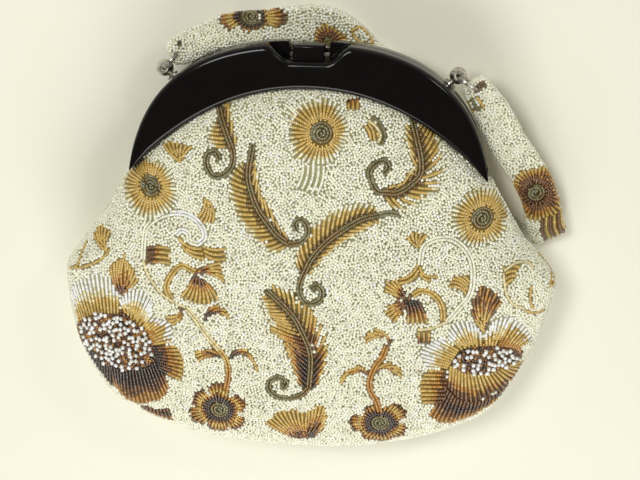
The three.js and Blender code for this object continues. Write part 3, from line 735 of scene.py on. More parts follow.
LEFT_SCROLLS = (
    Thread(((-81.5, 13), (-80.6, 25), (-79.4, 29), (-73.4, 34.3), (-65, 37.3), (-57.4, 36.6), (-51.4, 32),
            (-49.6, 26.3), (-53, 22.6)), Shade.SCROLL, 2),
    Thread(((-53, 22.6), (-57.3, 24), (-58, 27.5), (-61.4, 29), (-64.4, 26.4)), Shade.SCROLL, 2),
    Thread(((-81.5, 13), (-79.3, 6), (-72.5, -3.6), (-67, -7.7), (-59.5, -11)), Shade.CREAM, 1),
    Thread(((-59.5, -11), (-54.6, -16.7), (-49.7, -24.3), (-44, -31.4), (-39.4, -38), (-38.3, -46),
            (-40, -56)), Shade.VINE, 2),
    Thread(((-54.8, 8.4), (-61.6, 11), (-67.3, 5), (-69.3, -1.4), (-67, -6.4)), Shade.GOLD, 2),
    Thread(((-112.7, 17), (-114.8, 12), (-117.7, 5), (-122, 2.6)), Shade.GOLD, 1),
    Thread(((-122, 2.4), (-111, 6.3), (-102.7, 11.4), (-99, 16)), Shade.GOLD, 1),
)

LEFT_LEAVES = (
    Petal(((-49.2, 45), (-47, 44)), ((-54.5, 35), (-51, 33), (-45.5, 34)), Shade.GOLD, 0.12),
    Petal(((-62.5, 24.5), (-60.8, 21)), ((-51.4, 20.3), (-50.4, 15.5)), Shade.GOLD, -0.14),
    Petal(((-50, 21.5), (-49, 17)), ((-38.5, 21.5), (-39, 16)), Shade.GOLD, -0.12),
    Petal(((-79, 18.6), (-79, 11.5)), ((-67.5, 19.4), (-67, 11.7)), Shade.ROOTED, 0.05),
    Petal(((-101, 15),), ((-109, 22), (-104.5, 27), (-99.5, 25)), Shade.GOLD, 0.1),
    Petal(((-62.4, 62.8),), ((-71.5, 70), (-65.7, 71.8), (-57, 70)), Shade.GOLD, 0.06),
    Petal(((-54, 7.5), (-50.5, 8.5)), ((-41, 13.5), (-40, 4.5)), Shade.ROOTED, 0.08),
    Petal(((-55, 5.5), (-50, 4)), ((-62, -5.5), (-55.6, -8), (-49, -8), (-43, -5.5)), Shade.ROOTED, 0.04),
    Petal(((-94, -6), (-92, -6)), ((-98.5, 8.5), (-91, 14)), Shade.ROOTED, 0.08),
    Petal(((-92.5, -6),), ((-91, 13.5), (-87, 8), (-84, 3)), Shade.ROOTED, -0.05),
    Petal(((-61, -11), (-63, -11)), ((-70.5, -16.5), (-68, -20), (-64, -20)), Shade.ROOTED, 0.22),
    Petal(((-49.5, -17), (-48, -14)), ((-42, -9), (-38, -12), (-37, -15.5)), Shade.BURNT, 0.22),
    Petal(((-39.5, -40), (-41, -37)), ((-50, -33.5), (-55.5, -36), (-54, -40)), Shade.BURNT, -0.16),
    Petal(((-37, -37), (-35, -34)), ((-28, -32.5), (-24.5, -38), (-23.5, -43.5)), Shade.BURNT, 0.2),
)

LEFT_GREAT_FLOWER = (
    Petal(((-118, -25), (-111, -20), (-103, -17.5), (-95.5, -17)),
          ((-122, -11.5), (-119, -4), (-109.5, 2), (-101.5, 3), (-95.5, -1.7)), Shade.PETAL),
    Petal(((-91.5, -16), (-86.4, -20), (-82.7, -23.6)),
          ((-94.4, -8.8), (-90, -5), (-82, -3), (-77.5, -7), (-77, -15)), Shade.PETAL),
    Petal(((-82.5, -24.5), (-78, -32.6)), ((-77, -18.5), (-68.5, -19.5), (-66.5, -29.6)), Shade.WARM_PETAL),
    Petal(((-77.5, -33), (-75.6, -39.3), (-74.6, -46.2)),
          ((-66.5, -30.5), (-62, -37.4), (-61, -45), (-63.2, -51.5)), Shade.BURNT),
    Petal(((-101, -49), (-92, -50), (-82.4, -47), (-75.7, -42)),
          ((-100, -60), (-94, -68.5), (-84.2, -68.6), (-75, -64), (-70, -57.5)), Shade.SOOTY),
    Petal(((-113, -38), (-107.6, -45), (-102, -49)), ((-115, -43), (-109, -52), (-102.5, -60)), Shade.DARK),
    Petal(((-85, -71), (-78.5, -72), (-72, -71)), ((-86, -74), (-79, -77), (-70, -79)), Shade.EARTH),
)

RIGHT_SCROLLS = (
    Thread(((57.5, 16.8), (59, 25.5), (64.2, 29), (71.4, 29.5), (78, 25.4), (82.3, 18.8), (83.6, 11),
            (82.4, 1.4), (76.7, -6.4), (71.7, -12.9)), Shade.IVORY, 2),
    Thread(((71.7, -12.9), (64, -16.6), (57.2, -17.5)), Shade.CREAM, 1),
    Thread(((47.9, 9), (51, 10), (54.3, 12.7), (56.5, 16.2), (59, 12), (61.6, 10.8), (66.5, 10.8)),
           Shade.GOLD, 1),
    Thread(((47.9, 7), (51.8, 8), (55, 10.5), (56.8, 13.4), (59, 10), (63, 8.6)), Shade.GOLD, 1),
    Thread(((54.7, 1), (58, 3.2), (62.6, 2.6), (67.3, -1.5), (69.5, -7.2), (69.7, -12.2)), Shade.GOLD, 2),
    Thread(((98.5, 12), (99.3, 6.8), (101, 0.5), (105.2, -4.7), (110, -6.5)), Shade.CREAM, 1),
    Thread(((99, 13.5), (104.2, 16.6), (110.2, 16.5), (113.5, 13)), Shade.CREAM, 1),
    Thread(((117, 17.8), (121, 14.4), (123, 8.8), (122.5, 2.8)), Shade.GOLD, 2),
    Thread(((112.6, 4.7), (112.3, -1.6), (114, -7)), Shade.GOLD, 1),
    Thread(((107.2, -4.9), (111, -8), (114.8, -9.4), (120, -8.7)), Shade.GOLD, 1),
    Thread(((42, -27), (40, -33), (36.7, -37.8), (34, -46), (34.5, -52), (37.5, -58), (39.5, -65)),
           Shade.AMBER, 2),
    Thread(((31.9, 87.7), (35.9, 84.6), (38.3, 79.2), (36.8, 74.4)), Shade.OLIVE, 1),
    Thread(((30.4, 85.6), (33.8, 83), (36.2, 79), (35, 75.6)), Shade.CREAM, 1),
)

RIGHT_LEAVES = (
    Petal(((55.8, 25.5), (57, 26)), ((51, 30.5), (55.5, 33), (60, 31)), Shade.GOLD, 0.1),
    Petal(((81, 1.4), (82, 3)), ((71.5, 5.5), (73, 9), (79, 11)), Shade.GOLD, -0.2),
    Petal(((50, 1.5), (50.5, -1)), ((45.5, 9), (41, 7), (41, 3)), Shade.ROOTED),
    Petal(((50, -3), (51, -4)), ((41.5, -6), (41.5, -10), (45.5, -13.6)), Shade.ROOTED),
    Petal(((51.5, -2.5), (57, -2)), ((52.5, -13.8), (62, -14)), Shade.BURNT, 0.04),
    Petal(((47, 0), (53, 1)), ((47.5, -3.5), (52.5, -3.5)), Shade.BROWN),
    Petal(((58, -19), (63, -19)), ((58.5, -24), (63, -24.5)), Shade.SUNSET),
    Petal(((90.5, -18),), ((83.5, -6), (85, 0), (89, 6.5), (95, 2), (98.5, -2)), Shade.SUNSET, 0.06,
          Shade.EARTH),
    Petal(((98.5, 14.5), (99.5, 6)), ((106, 14.5), (103.5, 9)), Shade.GOLD, 0.12),
    Petal(((43.5, -27), (45, -23.5)), ((36.5, -18), (31.5, -21.5), (31.5, -25.5)), Shade.ROOTED, -0.22),
    Petal(((33.5, -44), (33.5, -41.5)), ((26, -39), (20, -44), (19.4, -48.6)), Shade.ROOTED, -0.2),
    Petal(((35, -44), (37, -39)), ((45, -36), (50, -39.5), (50, -43.5)), Shade.ROOTED, 0.14),
    Petal(((29, 83), (31.5, 85.5)), ((31.5, 76), (35, 77.5)), Shade.GOLD, 0.1),
    Petal(((19.8, 95), (24.5, 95.5)), ((20.5, 90.5), (24.5, 90.5)), Shade.ROOTED),
    Petal(((-3, -84), (2, -83)), ((-20, -74), (-13, -68), (-5.5, -65.5), (2, -67)), Shade.ROOTED, 0.05),
    Petal(((0, -84), (4, -83)), ((3, -66), (9, -62), (12, -69), (9, -78)), Shade.BURNT, -0.05),
)

RIGHT_GREAT_FLOWER = (
    Petal(((77.8, -28.5), (75, -33.5), (72.5, -38)), ((68, -22.4), (59.6, -27.5), (60.8, -36)), Shade.PETAL),
    Petal(((79.6, -27.5), (84.9, -26), (90, -25.5)),
          ((72.5, -21), (74, -14.5), (79.7, -12.3), (86, -15), (89.7, -21)), Shade.PETAL),
    Petal(((92, -25.5), (97, -25.8)), ((91.3, -19.6), (96, -11.6), (103.5, -10.5)), Shade.PETAL),
    Petal(((98.3, -26), (107, -29)), ((104.5, -11), (111, -16.3), (115, -24.3)), Shade.WARM_PETAL),
    Petal(((74.6, -37.5), (83, -42.2), (93, -42.6), (106.4, -37.6)),
          ((74, -49.4), (80, -56), (87.7, -58), (97, -54.4), (108, -47.4), (111.5, -38.5)), Shade.SUNSET),
    Petal(((71.5, -40), (72.5, -48), (70.5, -58)), ((62.6, -40), (59, -48), (61, -58.5)), Shade.ROOTED),
    Petal(((72.5, -50), (79.4, -57), (89, -59), (98.5, -55), (109.5, -47.5)),
          ((65, -66.5), (72.5, -72), (84, -68.6), (94, -62.7), (104, -56), (112, -49.5)), Shade.EARTH),
)

SMALL_FLOWERS = (
    Bloom(-44, -68, 4.4, 9.6, 9.6, Shade.SOOTY),
    *(Lobe(-44, -68, heading, 52, 9.0, outer, Shade.SUNSET)
      for heading, outer in ((148, 15), (88, 16), (204, 17), (22, 15), (318, 15.5), (262, 15))),
    Bloom(39.5, -71.5, 4.4, 9.6, 9.6, Shade.SOOTY),
    *(Lobe(39.5, -71.5, heading, 50, 9.0, outer, Shade.SUNSET)
      for heading, outer in ((182, 16), (112, 12), (40, 15.5), (335, 14.5), (235, 13.5), (285, 13.5))),
)

FRONT_PATTERN = (*CURLS, *PLUMES, *DAISIES, *PALE_ROWS, *LEFT_SCROLLS, *LEFT_LEAVES, *LEFT_GREAT_FLOWER,
                 *RIGHT_SCROLLS, *RIGHT_LEAVES, *RIGHT_GREAT_FLOWER, *SMALL_FLOWERS)

# The strap's pattern, in millimetres along the strap from its left end, and across from its middle. Most of
# its places come from the same picking and working out as the front's.
STRAP_PATTERN = (
    Bloom(42.5, 5.8, 3.9, 7.2, 7.2, Shade.SOOTY, 1.2, coil=Shade.COIL),
    Lobe(42.5, 5.8, 188, 50, 8.0, 15, Shade.SUNSET), Lobe(42.5, 5.8, 356, 44, 8.0, 18.5, Shade.SUNSET),
    Bloom(85, -8, 3.0, 9.4, 9.4, Shade.RAYS, 1.25, coil=Shade.COIL),
    Thread(((92, 5), (94.5, 9), (103.5, 7), (97, 3), (92.5, 4.5)), Shade.GOLD),
    Thread(((4.4, 3.2), (5.6, 3.8)), Shade.DARK),
    Bloom(270.5, 1, 4.2, 12.6, 14.0, Shade.RAYS, 1.1, coil=Shade.COIL, pale=3.4),
    Petal(((241, -10), (241, 2.5)), ((259, -9.5), (258, 0)), Shade.GOLD, 0.03, Shade.BROWN),
    Thread(((226, 8.5), (236, 9), (246, 8.5)), Shade.GOLD),
    Thread(((228, -8.8), (239, -8.8)), Shade.AMBER),
    Petal(((325, 2), (325, 8)), ((331.5, 2), (331.5, 7.5)), Shade.GOLD, 0.0, Shade.OLIVE),
    Petal(((333.4, -4), (333.4, 1)), ((336.6, -3.5), (336.6, 0.5)), Shade.EARTH),
)


class Beadwork:
    """Beads laid on a surface, none of them inside another."""

    def __init__(self, seed: int, beside: "Beadwork | None" = None) -> None:
        """Starts an empty piece of beadwork with its own random numbers, beside another if given."""
        self.random = np.random.default_rng(seed)
        self.cell = 1.3
        self.taken: dict[tuple[int, int, int], list[tuple[float, float, float]]] = {}
        self.others: list[Points] = beside.places if beside else []
        for place in self.others:
            self.mark(place)
        self.places: list[Points] = []
        self.normals: list[Points] = []
        self.holes: list[Points] = []
        self.tints: list[Points] = []
        self.sizes: list[Points] = []

    def is_free(self, place: Points, gap: float) -> bool:
        """Whether no bead lies closer to place than gap."""
        x, y, z = place
        cx, cy, cz = int(x // self.cell), int(y // self.cell), int(z // self.cell)
        for i in (cx - 1, cx, cx + 1):
            for j in (cy - 1, cy, cy + 1):
                for k in (cz - 1, cz, cz + 1):
                    for a, b, c in self.taken.get((i, j, k), ()):
                        if (a - x) ** 2 + (b - y) ** 2 + (c - z) ** 2 < gap * gap:
                            return False
        return True

    def mark(self, place: Points) -> None:
        """Notes that a place is taken."""
        x, y, z = (float(value) for value in place)
        key = (int(x // self.cell), int(y // self.cell), int(z // self.cell))
        self.taken.setdefault(key, []).append((x, y, z))

    def lay(self, place: Points, normal: Points, hole: Points, tone: Tone, radius: float,
            length: float) -> None:
        """Lays one bead.

        Args:
            place: the middle of the bead, in millimetres.
            normal: outward direction of the cloth.
            hole: direction of the bead's hole.
            tone: its glass.
            radius: its radius round the hole.
            length: its length along the hole.
        """
        self.places.append(np.asarray(place, float))
        self.normals.append(np.asarray(normal, float))
        self.holes.append(np.asarray(hole, float))
        change = 1 + self.random.normal(0, 0.12)
        self.tints.append(np.clip(linear(tone.value) * change, 0, 0.98))
        self.sizes.append(np.array([radius, radius, length]) * (1 + self.random.normal(0, 0.03)))

    def lay_row(self, work: Threadwork, surface: Callable[[Points], tuple[Points, Points]],
                keep: Callable[[Points], np.ndarray]) -> None:
        """Lays a row of beads along a line of the chart.

        Args:
            work: the row.
            surface: turns chart places into points on the cloth and normals.
            keep: which points on the cloth may carry a bead.
        """
        dense = spread(np.asarray(work.line, float), 60)
        points, normals = surface(dense)
        length = lengths_along(points)
        count = int(length[-1] / BEAD.row_step) + 1
        at = np.arange(count) * BEAD.row_step + self.random.uniform(0, 0.25)
        at = at[at <= length[-1]]
        if not len(at):
            return
        places = np.stack([np.interp(at, length, points[:, axis]) for axis in range(3)], axis=1)
        outward = unit(np.stack([np.interp(at, length, normals[:, axis]) for axis in range(3)], axis=1))
        ahead = unit(np.stack([np.interp(at, length, np.gradient(points[:, axis]))
                               for axis in range(3)], axis=1))
        tones = work.shade.value
        for number in np.flatnonzero(keep(places)):
            place = places[number] + outward[number] * BEAD.lift
            if not self.is_free(place, BEAD.crowd):
                continue
            self.mark(place)
            share = at[number] / max(length[-1], 1e-6) + self.random.normal(0, 0.07)
            tone = tones[int(np.clip(share * len(tones), 0, len(tones) - 1))]
            self.lay(place, outward[number], ahead[number], tone, BEAD.row_radius, BEAD.row_step * 0.98)

    def fill(self, points: Points, faces: np.ndarray, keep: Callable[[Points], np.ndarray],
             choose: Callable[[Points], Tone], per_mm2: float) -> None:
        """Fills what is left of a surface with beads, strewn at random and then settled.

        Args:
            points: the surface's points, in millimetres.
            faces: its triangles, turned outwards.
            keep: which places may carry a bead.
            choose: the glass for a place.
            per_mm2: beads on each square millimetre.
        """
        a, b, c = (points[faces[:, corner]] for corner in range(3))
        cross = np.cross(b - a, c - a)
        area = np.linalg.norm(cross, axis=1) / 2
        wanted, tries = int(area.sum() * per_mm2), int(area.sum() * per_mm2 * 9)
        pick = self.random.choice(len(faces), tries, p=area / area.sum())
        u, v = self.random.random(tries), self.random.random(tries)
        flip = u + v > 1
        u[flip], v[flip] = 1 - u[flip], 1 - v[flip]
        weights = np.stack([1 - u - v, u, v], axis=1)
        places = (points[faces[pick]] * weights[:, :, None]).sum(axis=1)
        outward = unit(cross)[pick]
        pattern = KDTree(len(self.places))
        for number, place in enumerate(self.places):
            pattern.insert(place, number)
        pattern.balance()
        strewn, ways = [], []
        before = {key: list(value) for key, value in self.taken.items()}
        for number in np.flatnonzero(keep(places)):
            place = places[number] + outward[number] * BEAD.lift
            near = pattern.find(place)[2]
            if self.is_free(place, BEAD.loose) and (near is None or near > BEAD.clear):
                self.mark(place)
                strewn.append(places[number])
                ways.append(outward[number])
                if len(strewn) >= wanted:
                    break
        self.taken = before
        cloth = BVHTree.FromPolygons(points.tolist(), faces.tolist())
        settled, ways = self.settle(np.array(strewn), np.array(ways), cloth)
        for place, way, kept in zip(settled, ways, keep(settled)):
            middle = place + way * BEAD.lift
            if kept and self.is_free(middle, BEAD.least):
                self.mark(middle)
                hole = unit(np.cross(way, self.random.normal(size=3)))
                self.lay(middle, way, hole, choose(place), BEAD.radius, BEAD.length)

    def settle(self, loose: Points, ways: Points, cloth: BVHTree, rounds: int = 7) -> tuple[Points, Points]:
        """Lets loose beads push each other apart along the cloth.

        Args:
            loose: where the loose beads touch the cloth.
            ways: outward directions there.
            cloth: the surface.
            rounds: how often they push.

        Returns:
            The settled places and the outward directions there.
        """
        fixed = np.array([*self.places, *self.others]).reshape(-1, 3)
        for _ in range(rounds):
            lifted = loose + ways * BEAD.lift
            everything = np.vstack([lifted, fixed])
            tree = KDTree(len(everything))
            for number, place in enumerate(everything):
                tree.insert(place, number)
            tree.balance()
            near = np.array([[hit[1] for hit in tree.find_n(place, 9)][1:] for place in lifted])
            away = lifted[:, None] - everything[near]
            gap = np.maximum(np.linalg.norm(away, axis=2, keepdims=True), 1e-6)
            push = (away / gap * np.maximum(BEAD.settled - gap, 0) * 0.4).sum(axis=1)
            push -= ways * (push * ways).sum(axis=1, keepdims=True)
            reach = np.linalg.norm(push, axis=1, keepdims=True)
            push *= np.minimum(1, 0.35 / np.maximum(reach, 1e-9))
            for number, place in enumerate(loose + push):
                spot, way, _, _ = cloth.find_nearest(place)
                loose[number], ways[number] = spot, way
        return loose, ways

    def heap(self, heap: Heap, surface: Callable[[Points], tuple[Points, Points]], count: int) -> None:
        """Piles loose white beads over a heap's ground.

        Args:
            heap: where they lie.
            surface: turns chart places into points on the cloth and normals.
            count: how many there are.
        """
        upper: list[Points] = []
        for _ in range(count * 8):
            if len(upper) >= count:
                return
            spot = np.array([[self.random.uniform(-1, 1) * heap.wide + heap.x,
                              self.random.uniform(-1, 1) * heap.wide + heap.y]])
            if not heap.holds(spot)[0]:
                continue
            point, normal = (value[0] for value in surface(spot))
            place = point + normal * self.random.uniform(1.4, 2.1)
            if any(np.linalg.norm(place - other) < 1.7 for other in upper):
                continue
            upper.append(place)
            flat = unit(np.cross(normal, self.random.normal(size=3)))
            hole = unit(flat + normal * self.random.uniform(-0.9, 0.9))
            self.lay(place, normal, hole, Tone.WHITE, 0.95, 1.7)

    def make(self, bead_tree: "BeadTree",
             parts: Sequence[tuple[str, Callable[[Points], np.ndarray]]]) -> list[bpy.types.Object]:
        """Turns the beads into pieces.

        Args:
            bead_tree: the Geometry Nodes tree that puts a bead at each place.
            parts: name of each piece, and which beads it takes.

        Returns:
            The pieces.
        """
        columns = [np.array(column) for column in
                   (self.places, self.normals, self.holes, self.tints, self.sizes)]
        return [bead_tree.grow(name, *(column[takes(columns[0])] for column in columns))
                for name, takes in parts]


def paint_bead_shade(piece: bpy.types.Object, beads: Sequence[Beadwork], plain: tuple[int, int, int] = (170, 165, 122),
          share: float = 0.95) -> None:
    """Paints shade into the cloth between the beads: darker and tinted after the beads that lie on it.

    Args:
        piece: the cloth.
        beads: the beadwork on it.
        plain: the cloth's own colour.
        share: how strongly the painted shade follows the beads, as a power.
    """
    places = np.vstack([np.array(work.places) for work in beads])
    tints = np.vstack([np.array(work.tints) for work in beads])
    tree = KDTree(len(places))
    for number, place in enumerate(places):
        tree.insert(place, number)
    tree.balance()
    colours = np.ones((len(piece.data.vertices), 4))
    for number, vertex in enumerate(piece.data.vertices):
        near = [hit[1] for hit in tree.find_n(vertex.co / MM, 5)]
        # painted shade: the cloth darkens and takes the hue of darker glass nearby, as the gaps between such
        # beads look in shade
        depth = np.clip(tints[near].mean(axis=0) / linear(Tone.IVORY.value), 0, 1)
        colours[number, :3] = linear(plain) * depth ** share
    layer = piece.data.attributes.new("cloth_bead_shade", "FLOAT_COLOR", "POINT")
    layer.data.foreach_set("color", colours.ravel())


def turns_to(holes: Points, normals: Points) -> np.ndarray:
    """Quaternions that turn +Z to each hole and +X as near to each normal as that allows."""
    z = unit(holes)
    x = unit(normals - z * (normals * z).sum(axis=1, keepdims=True))
    y = np.cross(z, x)
    found = [Matrix((a, b, c)).transposed().to_quaternion() for a, b, c in zip(x, y, z)]
    return np.array([(turn.w, turn.x, turn.y, turn.z) for turn in found])


@dataclass
class BeadTree:
    """Geometry Nodes that put a short closed bead at every point of a mesh.

    Attributes:
        finish: the beads' material.
        sides: sides of a bead round its hole.
    """

    finish: bpy.types.Material
    sides: int = 6
    tree: bpy.types.NodeTree = field(init=False)
    inputs: dict[str, str] = field(init=False, default_factory=dict)

    def __post_init__(self) -> None:
        """Builds the tree."""
        self.tree = bpy.data.node_groups.new(f"beads_of_{self.sides}_sides", "GeometryNodeTree")
        face = self.tree.interface
        face.new_socket("Geometry", in_out="INPUT", socket_type="NodeSocketGeometry")
        for name in ("Bead Radius", "Bead Length"):
            socket = face.new_socket(name, in_out="INPUT", socket_type="NodeSocketFloat")
            self.inputs[name] = socket.identifier
        face.new_socket("Geometry", in_out="OUTPUT", socket_type="NodeSocketGeometry")
        nodes = Nodes(self.tree)
        given = nodes.add("NodeGroupInput")
        barrel = nodes.add("GeometryNodeMeshCylinder", {"fill_type": "NGON"}, Vertices=self.sides,
                           Radius=given.outputs["Bead Radius"], Depth=given.outputs["Bead Length"])
        smooth = nodes.add("GeometryNodeSetShadeSmooth", Geometry=barrel.outputs["Mesh"])
        turn = nodes.add("GeometryNodeInputNamedAttribute", {"data_type": "QUATERNION"}, Name="turn")
        size = nodes.add("GeometryNodeInputNamedAttribute", {"data_type": "FLOAT_VECTOR"}, Name="size")
        strewn = nodes.add("GeometryNodeInstanceOnPoints", Points=given.outputs["Geometry"],
                           Instance=smooth.outputs["Geometry"], Rotation=turn.outputs["Attribute"],
                           Scale=size.outputs["Attribute"])
        real = nodes.add("GeometryNodeRealizeInstances", Geometry=strewn.outputs["Instances"])
        dressed = nodes.add("GeometryNodeSetMaterial", Geometry=real.outputs["Geometry"],
                            Material=self.finish)
        nodes.add("NodeGroupOutput", Geometry=dressed.outputs["Geometry"])

    def grow(self, name: str, places: Points, normals: Points, holes: Points, tints: Points,
             sizes: Points) -> bpy.types.Object:
        """A piece with a bead at each place.

        Args:
            name: the piece's name.
            places: middles of the beads, in millimetres.
            normals: outward directions.
            holes: directions of the holes.
            tints: linear colours.
            sizes: radius, radius and length of each bead, in millimetres.

        Returns:
            The piece, as a plain mesh.
        """
        mesh = bpy.data.meshes.new(name)
        mesh.vertices.add(len(places))
        mesh.vertices.foreach_set("co", (places * MM).ravel())
        turn = mesh.attributes.new("turn", "QUATERNION", "POINT")
        turn.data.foreach_set("value", turns_to(holes, normals).ravel())
        mesh.attributes.new("size", "FLOAT_VECTOR", "POINT").data.foreach_set("vector", sizes.ravel())
        colours = np.hstack([tints, np.ones((len(tints), 1))])
        mesh.attributes.new("bead_tint", "FLOAT_COLOR", "POINT").data.foreach_set("color", colours.ravel())
        piece = bpy.data.objects.new(name, mesh)
        bpy.context.scene.collection.objects.link(piece)
        modifier = piece.modifiers.new("beads", "NODES")
        modifier.node_group = self.tree
        modifier[self.inputs["Bead Radius"]] = MM
        modifier[self.inputs["Bead Length"]] = MM
        return settle(piece)


@dataclass(frozen=True)
class PouchRow:
    """Half widths of the pouch's seam, as shares, at a share of its height below the tips."""

    down: float
    left: float
    right: float


@dataclass
class Pouch:
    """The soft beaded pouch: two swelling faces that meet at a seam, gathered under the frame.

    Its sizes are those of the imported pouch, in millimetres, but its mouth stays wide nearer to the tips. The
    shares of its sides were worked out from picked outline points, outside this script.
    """

    half_width: float = 125.0
    below_tips: float = 148.5
    tip_height: float = 57.0
    rim_drop: float = 0.6
    front_swell: float = 22.0
    back_swell: float = 28.0
    seam_width: float = 0.8
    seam_thickness: float = 1.2
    tuck: float = 4.0
    mouth_gap: float = 6.2
    wall: float = 2.0
    tip_fade: float = 0.93
    rest_patch: float = 0.38
    sides: tuple[PouchRow, ...] = (
        PouchRow(0.0, 0.722, 0.72), PouchRow(0.125, 0.803, 0.806), PouchRow(0.21, 0.872, 0.868),
        PouchRow(0.29, 0.945, 0.965), PouchRow(0.355, 0.994, 1.0), PouchRow(0.42, 0.996, 0.985),
        PouchRow(0.52, 0.985, 0.953), PouchRow(0.63, 0.957, 0.9), PouchRow(0.73, 0.905, 0.842),
        PouchRow(0.825, 0.828, 0.765), PouchRow(0.9, 0.69, 0.62), PouchRow(0.956, 0.51, 0.43),
        PouchRow(0.99, 0.27, 0.22),
    )
    pleats: tuple[tuple[float, float, float, float], ...] = ((-19.2, 6.0, 1.5, 20.0), (21.5, 5.5, 1.6, 16.0))
    spokes: int = 540
    arch: "ArchFrame" = field(default_factory=lambda: ArchFrame())

    def __post_init__(self) -> None:
        """Works out the seam once, by direction from the middle."""
        share = np.linspace(-1, 1, 721)
        rim = self.rim(self.arch.tip_inner * (0.6 * share + 0.4 * np.sin(share * math.pi / 2)))
        low = self.tip_height - self.rim_drop
        right = [(row.right * self.half_width, low - row.down * self.below_tips) for row in self.sides]
        left = [(-row.left * self.half_width, low - row.down * self.below_tips)
                for row in reversed(self.sides)]
        side = smooth_line([*right, (0.0, low - self.below_tips), *left], 40)[1:-1]
        seam = np.vstack([rim, side])
        on_arch = np.concatenate([1 - smooth_step(self.tip_fade, 1, np.abs(rim[:, 0]) / self.arch.tip_inner),
                                  np.zeros(len(side))])
        angle = np.arctan2(seam[:, 1], seam[:, 0])
        order = np.argsort(angle)
        self.angles = angle[order]
        self.radii = np.hypot(seam[order, 0], seam[order, 1])
        self.seam_x = seam[order, 0]
        self.on_arch = on_arch[order]

    def rim(self, x: Points) -> Points:
        """Where the pouch's rim lies, tucked under the frame's lip."""
        share = x / self.arch.tip_inner
        slope = self.arch.inner_slope(x)
        outward = unit(np.stack([slope, np.ones_like(x)], axis=1))
        tuck = self.tuck * (1 - share ** 8)
        base = np.stack([x, self.arch.inner_height(x) - self.rim_drop * share ** 8], axis=1)
        return base + outward * tuck[:, None]

    def seam_at(self, angle: Points) -> tuple[Points, Points, Points]:
        """Radius of the seam, its share of the arch and its x at each direction."""
        return tuple(np.interp(angle, self.angles, values, period=math.tau)
                     for values in (self.radii, self.on_arch, self.seam_x))

    def height(self, chart: Points, face: int) -> Points:
        """Height of a face over the floor.

        Args:
            chart: places across and along the bag.
            face: 1 for the front and -1 for the back.

        Returns:
            The heights.
        """
        x, y = chart[:, 0], chart[:, 1]
        out = np.hypot(x, y)
        radius, arch, seam_x = self.seam_at(np.arctan2(y, x))
        inside = np.maximum(radius - out, 0.0)
        flat = self.seam_width + (self.tuck + 0.7 - self.seam_width) * arch
        thin = self.seam_thickness / 2
        edge = thin + (self.mouth_gap / 2 + self.wall - thin) * arch
        upward = smooth_step(-0.1, 1.0, y / np.maximum(out, 1e-6))
        if face > 0:
            power = 2.6 - 0.9 * upward
            share = np.clip((inside - flat) / np.maximum(radius - flat, 1.0), 0, 1)
            rise = (self.front_swell - edge) * (1 - (1 - share) ** power) ** (1 / power)
            return self.back_swell + edge + rise - self.creases(seam_x, inside, flat, arch)
        power = 2.3 - 0.6 * upward
        share = np.clip((inside - flat) / np.maximum(radius * (1 - self.rest_patch) - flat, 1.0), 0, 1)
        return self.back_swell - edge - (self.back_swell - edge) * (1 - (1 - share) ** power) ** (1 / power)

    def creases(self, seam_x: Points, inside: Points, flat: Points, arch: Points) -> Points:
        """Depth of the pleats and small gathers under the frame."""
        deep = np.zeros_like(inside)
        for at, depth, half, reach in self.pleats:
            fade = 1 - smooth_step(0, reach, inside)
            deep += depth * fade * np.exp(-((seam_x - at) / half) ** 2)
        ripple = 0.22 * (1 + np.sin(seam_x * 0.55 + 0.7 * np.sin(seam_x * 0.13)))
        deep += ripple * (1 - smooth_step(4, 26, inside))
        return deep * arch * smooth_step(0, 4, inside - flat)

    def surface(self, face: int) -> Callable[[Points], tuple[Points, Points]]:
        """A function from chart places to points and outward directions on a face."""
        def lifted(chart: Points) -> tuple[Points, Points]:
            chart = self.held(np.asarray(chart, float))
            step = 0.15
            z = self.height(chart, face)
            dx, dy = (self.height(self.held(chart + move), face) - self.height(self.held(chart - move), face)
                      for move in (np.array([step, 0.0]), np.array([0.0, step])))
            normal = unit(np.stack([-dx / (2 * step), -dy / (2 * step), np.ones_like(z)], axis=1)) * face
            return np.column_stack([chart, z]), normal
        return lifted

    def held(self, chart: Points) -> Points:
        """Chart places pulled back inside the seam."""
        out = np.hypot(chart[:, 0], chart[:, 1])
        radius, _, _ = self.seam_at(np.arctan2(chart[:, 1], chart[:, 0]))
        return chart * np.minimum(1.0, (radius - 0.25) / np.maximum(out, 1e-6))[:, None]

    def shell(self) -> tuple[Points, list[tuple[int, ...]]]:
        """Points and faces of the cloth, the front from its middle to the seam and then the back."""
        angle = np.linspace(-math.pi, math.pi, self.spokes, endpoint=False)
        radius, arch, _ = self.seam_at(angle)
        flat = self.seam_width + (self.tuck + 0.7 - self.seam_width) * arch
        ray = np.stack([np.cos(angle), np.sin(angle)], axis=1)
        share = np.concatenate([np.linspace(0, 1, 30) ** 2.1])
        insides = [np.zeros_like(radius), *(flat + (radius * 0.985 - flat) * part for part in share)]
        rings = []
        for face, order in ((1, reversed(insides)), (-1, insides)):
            for inside in order:
                chart = ray * (radius - inside)[:, None]
                rings.append(np.column_stack([chart, self.height(chart, face)]))
        middles = [np.array([[0, 0, self.height(np.zeros((1, 2)), face)[0]]]) for face in (1, -1)]
        points = np.vstack([*rings, *middles])
        faces = ring_faces(len(rings), self.spokes)
        front, back = len(points) - 2, len(points) - 1
        last = (len(rings) - 1) * self.spokes
        for side in range(self.spokes):
            onward = (side + 1) % self.spokes
            faces.append((front, onward, side))
            faces.append((back, last + side, last + onward))
        return points, faces

